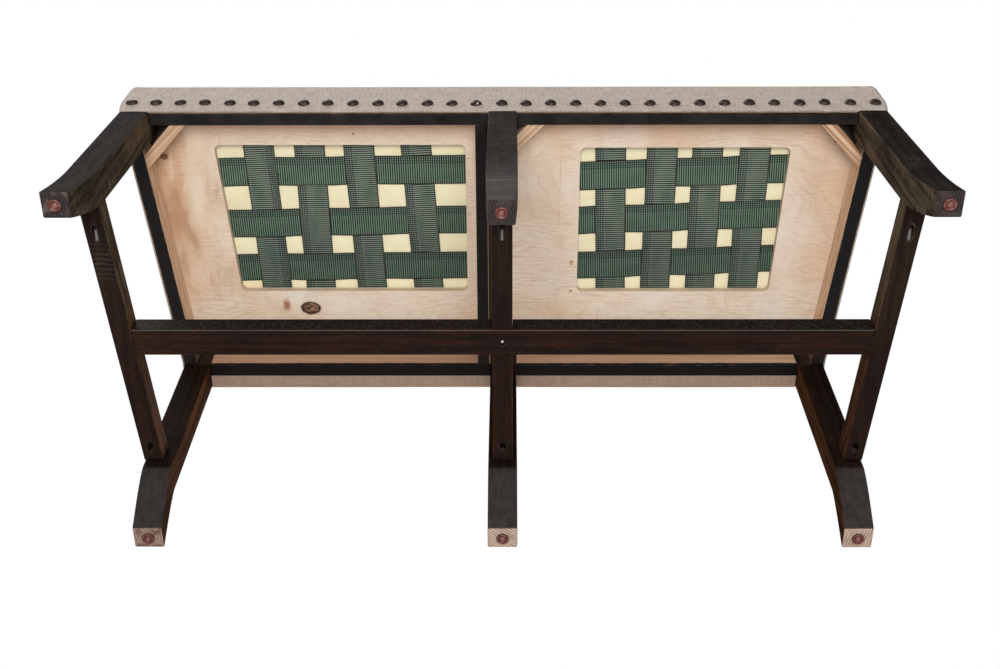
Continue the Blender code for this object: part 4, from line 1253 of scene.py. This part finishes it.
class SETTEE_OT_back(bpy.types.Operator):
    """Pad the back and close it behind"""
    bl_idname = "settee.back"
    bl_label = "Back"

    def execute(self, context):
        self.cover()
        self.outside()
        self.strips()
        return {"FINISHED"}

    def cover(self):
        low, high = BACK_LOW, BACK_HIGH
        half = high.x
        front_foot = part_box("back_panel")[0].y - sizes().back_pad
        rear_top = OUTER_HIGH.y - BACK_REAR_GAP

        def plane(z):
            return front_foot + (z - low.z) * LEAN

        def corner(x, y, z):
            height = high.z if z > 0 else low.z
            depth = rear_top - (high.z - height) * LEAN if y > 0 else plane(height)
            return (x * half, depth, height)

        def top_corner(middle, way):
            return abs(way.x) < 0.2 and abs(middle.z - high.z) < 0.02 and abs(way.z) < 0.5

        piece = box_piece("back_linen", corner)
        open_side(piece, (0, math.cos(BACK_RAKE), -math.sin(BACK_RAKE)), (0, 0, -1))
        round_edges(piece, top_corner, sizes().soft_corner, segments=4)
        round_edges(
            piece, lambda middle, way: middle.y < plane(middle.z) + BACK_EDGE,
            sizes().soft_edge, segments=5)
        sliced(piece, sizes().cloth_pitch)
        for vert in piece.data.vertices:
            spot = vert.co
            ahead = clamped(1 - (spot.y - plane(spot.z)) / BACK_FACE)
            crown = swell((spot.x / half + 1) / 2) * swell((spot.z - low.z) / (high.z - low.z))
            spot.y -= ahead * (sizes().back_crown * crown + wobble(spot, 8, 0.0012, 11))
            spot.z += wobble(spot, 7, 0.0008, 13) * clamped((spot.z - low.z) / BACK_LIFT)
        inflated(piece, lambda spot: (
            spot.y > plane(spot.z) + BACK_HELD or spot.z < low.z + HELD_EDGE))
        upholstered(piece, "back_cover", "back_foam")

    def outside(self):
        """A flat panel of linen, drawn tight, with a blind-stitched edge."""
        low, high = OUTER_LOW, OUTER_HIGH
        bend = SEAT_EDGE
        rear_low = high.y - (high.z - bend) * LEAN
        half = high.x - OUTER_INSET

        def place(across, onward):
            x = across * half
            z = low.z + (high.z - low.z) * (onward + 1) / 2
            y = rear_low + max(0.0, z - bend) * LEAN
            inset = min(half - abs(x), high.z - z, z - low.z)
            y += STITCH_RISE * min(1.0, inset / STITCH_WIDTH)
            y += wobble((x, 0, z), 6, 0.0005, 17) + OUTER_GAP
            return (x, y, z), (x, z)

        piece = grid_piece("outside_back_linen", place, columns=110, rows=56)
        thickened(piece, sizes().cover_thick, 1)
        smooth(piece, 50)
        dressed(piece, linen(), "linen", "outside_back")

    def strips(self):
        """Soft linen rolls along the foot of the outside back."""
        for name in ("tack_strip_left", "tack_strip_right"):
            low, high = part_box(name)
            ends = (low, high + Vector((0, STRIP_FULLNESS, 0)))

            def corner(*sides):
                return [ends[side > 0][axis] for axis, side in enumerate(sides)]

            piece = box_piece(name + "_linen", corner)
            round_edges(piece, lambda middle, way: abs(way.x) > 0.9, STRIP_ROUND, segments=3)
            sliced(piece, STRIP_PITCH)
            for vert in piece.data.vertices:
                fold = max(0.0, 1 - (vert.co.z - low.z) / STRIP_FOLD)
                vert.co.z += fold * wobble(vert.co, 26, 0.0012, 23)
            lay_cloth(piece, flat_side)
            smooth(piece, 60)
            dressed(piece, linen(), "linen", name)


class SETTEE_OT_nails(bpy.types.Operator):
    """Drive the decorative nails along the front"""
    bl_idname = "settee.nails"
    bl_label = "Nails"

    def execute(self, context):
        bronze = finish("nail_bronze", bronze_metal, 0.35, {"Metallic": 0.4})
        chipped = finish("nail_chipped", chipped_metal, 0.5, {"Metallic": 0.6})
        random.seed(4)
        size = sizes()
        half = COVER_HIGH.x - size.nail_end
        pattern = self.dome()
        for index in range(size.nail_count):
            share = 2 * index / (size.nail_count - 1) - 1
            x = half * share - size.nail_shift * (1 - share ** 6)
            z = RAIL_BOTTOM + size.nail_height
            z = z + size.nail_bow * share ** 2 - size.nail_slant * share
            z += random.uniform(-NAIL_STRAY_UP, NAIL_STRAY_UP)
            y = FRONT - NAIL_SINK - size.front_bulge * plump(z)
            deselect()
            nail = pattern.copy()
            nail.data = pattern.data.copy()
            context.collection.objects.link(nail)
            nail.name = "front_nail_%02d" % (index + 1)
            tilt = Matrix.Rotation(random.uniform(-NAIL_TILT, NAIL_TILT), 4, "X")
            tilt = tilt @ Matrix.Rotation(random.uniform(-NAIL_TILT, NAIL_TILT), 4, "Z")
            spin = Matrix.Rotation(random.uniform(0, math.tau), 4, "Y")
            x += random.uniform(-NAIL_STRAY_ASIDE, NAIL_STRAY_ASIDE)
            nail.data.transform(Matrix.Translation((x, y, z)) @ tilt @ spin)
            dressed(nail, chipped if index == CHIPPED_NAIL else bronze, "bronze")
        bpy.data.objects.remove(pattern)
        return {"FINISHED"}

    def dome(self):
        """A domed head that faces the front, with a rolled rim and a short shank."""
        radius = sizes().nail_width / 2
        rise = sizes().nail_rise
        shank_and_rim = (
            (0.22, -0.004), (0.22, 0.0006), (0.86, 0.0004), (0.97, 0.0001), (1.0, 0.0006),
            (0.97, 0.0013))
        profile = [(radius * share, height) for share, height in shank_and_rim]
        for step in range(1, 7):
            angle = math.radians(12 + step * 78 / 7)
            profile.append((radius * math.cos(angle), max(0.0014, rise * math.sin(angle))))
        piece = turned_piece("nail_pattern", NAIL_SIDES, profile, rise)
        piece.data.transform(Matrix.Rotation(math.pi / 2, 4, "X"))
        smooth(piece, 50)
        return piece


class SETTEE_OT_glides(bpy.types.Operator):
    """Fit a moulded glide under each foot"""
    bl_idname = "settee.glides"
    bl_label = "Glides"
    profile = (
        (0.96, 0.0037), (1.0, 0.0026), (0.98, 0.0012), (0.90, 0.0003), (0.80, 0.0),
        (0.70, 0.0002), (0.60, 0.0010), (0.46, 0.0014), (0.42, 0.0010), (0.34, 0.0005),
        (0.20, 0.0003))

    def execute(self, context):
        material = finish("glide_plastic", moulded_glide, 0.5, {"Coat Weight": 0.2})
        for name in sorted(nodes):
            if not name.startswith("foot_glide"):
                continue
            low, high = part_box(name)
            piece = self.disc(name + "_moulding", GLIDE_SHARE * (high.x - low.x) / 2)
            piece.location = ((low.x + high.x) / 2, (low.y + high.y) / 2, 0)
            settled(piece)
            dressed(piece, material, "glide", name)
        return {"FINISHED"}

    def disc(self, name, radius):
        """A rounded disc with a dished face and the nail's head in the middle of it."""
        piece = turned_piece(
            name, GLIDE_SIDES, [(radius * share, height) for share, height in self.profile])
        ring = piece.data.attributes.new("ring", "FLOAT", "POINT")
        for vert in piece.data.vertices:
            ring.data[vert.index].value = vert.co.xy.length / radius
        smooth(piece, 60)
        return piece


class SETTEE_OT_stage(bpy.types.Operator):
    """Light the settee, lay a pale floor and set the camera below it"""
    bl_idname = "settee.stage"
    bl_label = "Studio"
    floor_size = 9
    floor_drop = 0.0004
    light_share = 0.46
    gloss_share = 0.12

    def execute(self, context):
        self.floor()
        self.world(context)
        self.lamp("under_softbox", (0.0, -1.75, -2.05), (0, -0.05, 0.40), 1.5, 66)
        self.lamp("top_softbox", (-1.3, -1.4, 3.0), (0, 0, 0.5), 2.2, 62)
        self.lamp("fill_softbox", (1.9, 1.9, 2.2), (0, 0, 0.5), 2.0, 30)
        self.camera(context)
        context.scene.view_settings.view_transform = "Standard"
        return {"FINISHED"}

    def floor(self):
        """A pale floor that is only seen from above."""
        deselect()
        bpy.ops.mesh.primitive_plane_add(
            size=self.floor_size, location=(0, 0, -self.floor_drop))
        floor = current("studio_floor")
        floor.visible_shadow = False
        floor.visible_diffuse = False
        material = bpy.data.materials.new("studio_floor")
        material.use_nodes = True
        tree = material.node_tree
        shader = tree.nodes["Principled BSDF"]
        look = {"Base Color": (0.86, 0.86, 0.86, 1), "Roughness": 0.9,
                "Emission Color": (1, 1, 1, 1), "Emission Strength": 0.25}
        for key, value in look.items():
            shader.inputs[key].default_value = value
        back = Wire(tree, tree.nodes.new("ShaderNodeNewGeometry").outputs["Backfacing"])
        clear = back.make("ShaderNodeBsdfTransparent", {}, {})
        solid = Wire(tree, shader.outputs["BSDF"])
        sheer = back.make("ShaderNodeMixShader", {}, {0: back, 1: solid, 2: clear})
        tree.links.new(sheer.socket, tree.nodes["Material Output"].inputs["Surface"])
        floor.data.materials.append(material)

    def world(self, context):
        """White to the camera, softer as light and dim in reflections."""
        world = bpy.data.worlds.new("studio")
        context.scene.world = world
        world.use_nodes = True
        tree = world.node_tree
        path = tree.nodes.new("ShaderNodeLightPath")
        seen = Wire(tree, path.outputs["Is Camera Ray"])
        glossy = Wire(tree, path.outputs["Is Glossy Ray"])
        number = {"data_type": "FLOAT"}
        other = seen.make(
            "ShaderNodeMix", number, {0: glossy, 2: self.light_share, 3: self.gloss_share})
        strength = seen.make("ShaderNodeMix", number, {0: seen, 2: other, 3: 1.0})
        background = tree.nodes["Background"]
        background.inputs["Color"].default_value = (1, 1, 1, 1)
        tree.links.new(strength.socket, background.inputs["Strength"])

    def lamp(self, name, place, target, size, power):
        light = bpy.data.lights.new(name, "AREA")
        light.shape = "DISK"
        light.size = size
        light.energy = power
        lamp = bpy.data.objects.new(name, light)
        bpy.context.scene.collection.objects.link(lamp)
        lamp.location = place
        way = Vector(target) - Vector(place)
        lamp.rotation_euler = way.to_track_quat("-Z", "Y").to_euler()

    def camera(self, context):
        """The photograph's view: from the front, below the seat, looking steeply up."""
        view = bpy.data.cameras.new("photo_camera")
        view.sensor_width = 36.0
        view.lens = CAMERA_LENS
        view.clip_end = 50
        camera = bpy.data.objects.new("photo_camera", view)
        context.scene.collection.objects.link(camera)
        turn = Euler([math.radians(angle) for angle in CAMERA_TURN])
        camera.matrix_world = Matrix.LocRotScale(Vector(CAMERA_PLACE), turn, None)
        context.scene.camera = camera


class SETTEE_PT_panel(bpy.types.Panel):
    """The settee's pieces, colours and sizes"""
    bl_idname = "SETTEE_PT_panel"
    bl_label = "Dining settee"
    bl_space_type = "VIEW_3D"
    bl_region_type = "UI"
    bl_category = "Settee"

    def draw(self, context):
        for operator in STEPS:
            self.layout.operator(operator.bl_idname)
        for group in (context.scene.settee_colours, context.scene.settee_sizes):
            column = self.layout.column()
            for name in group.__annotations__:
                column.prop(group, name)


STEPS = (
    SETTEE_OT_stage, SETTEE_OT_legs, SETTEE_OT_seat_frame, SETTEE_OT_screws, SETTEE_OT_webbing,
    SETTEE_OT_seat_foam, SETTEE_OT_seat_cover, SETTEE_OT_back, SETTEE_OT_nails, SETTEE_OT_glides)
CLASSES = (SETTEE_PG_colours, SETTEE_PG_sizes, *STEPS, SETTEE_PT_panel)


def register():
    for kind in CLASSES:
        bpy.utils.register_class(kind)
    bpy.types.Scene.settee_colours = PointerProperty(type=SETTEE_PG_colours)
    bpy.types.Scene.settee_sizes = PointerProperty(type=SETTEE_PG_sizes)


def unregister():
    del bpy.types.Scene.settee_sizes
    del bpy.types.Scene.settee_colours
    for kind in reversed(CLASSES):
        bpy.utils.unregister_class(kind)


def main():
    register()
    bpy.ops.settee.stage()
    bpy.ops.settee.legs()
    bpy.ops.settee.seat_frame()
    bpy.ops.settee.screws()
    bpy.ops.settee.webbing()
    bpy.ops.settee.seat_foam()
    bpy.ops.settee.seat_cover()
    bpy.ops.settee.back()
    bpy.ops.settee.nails()
    bpy.ops.settee.glides()


if __name__ == "__main__":
    main()
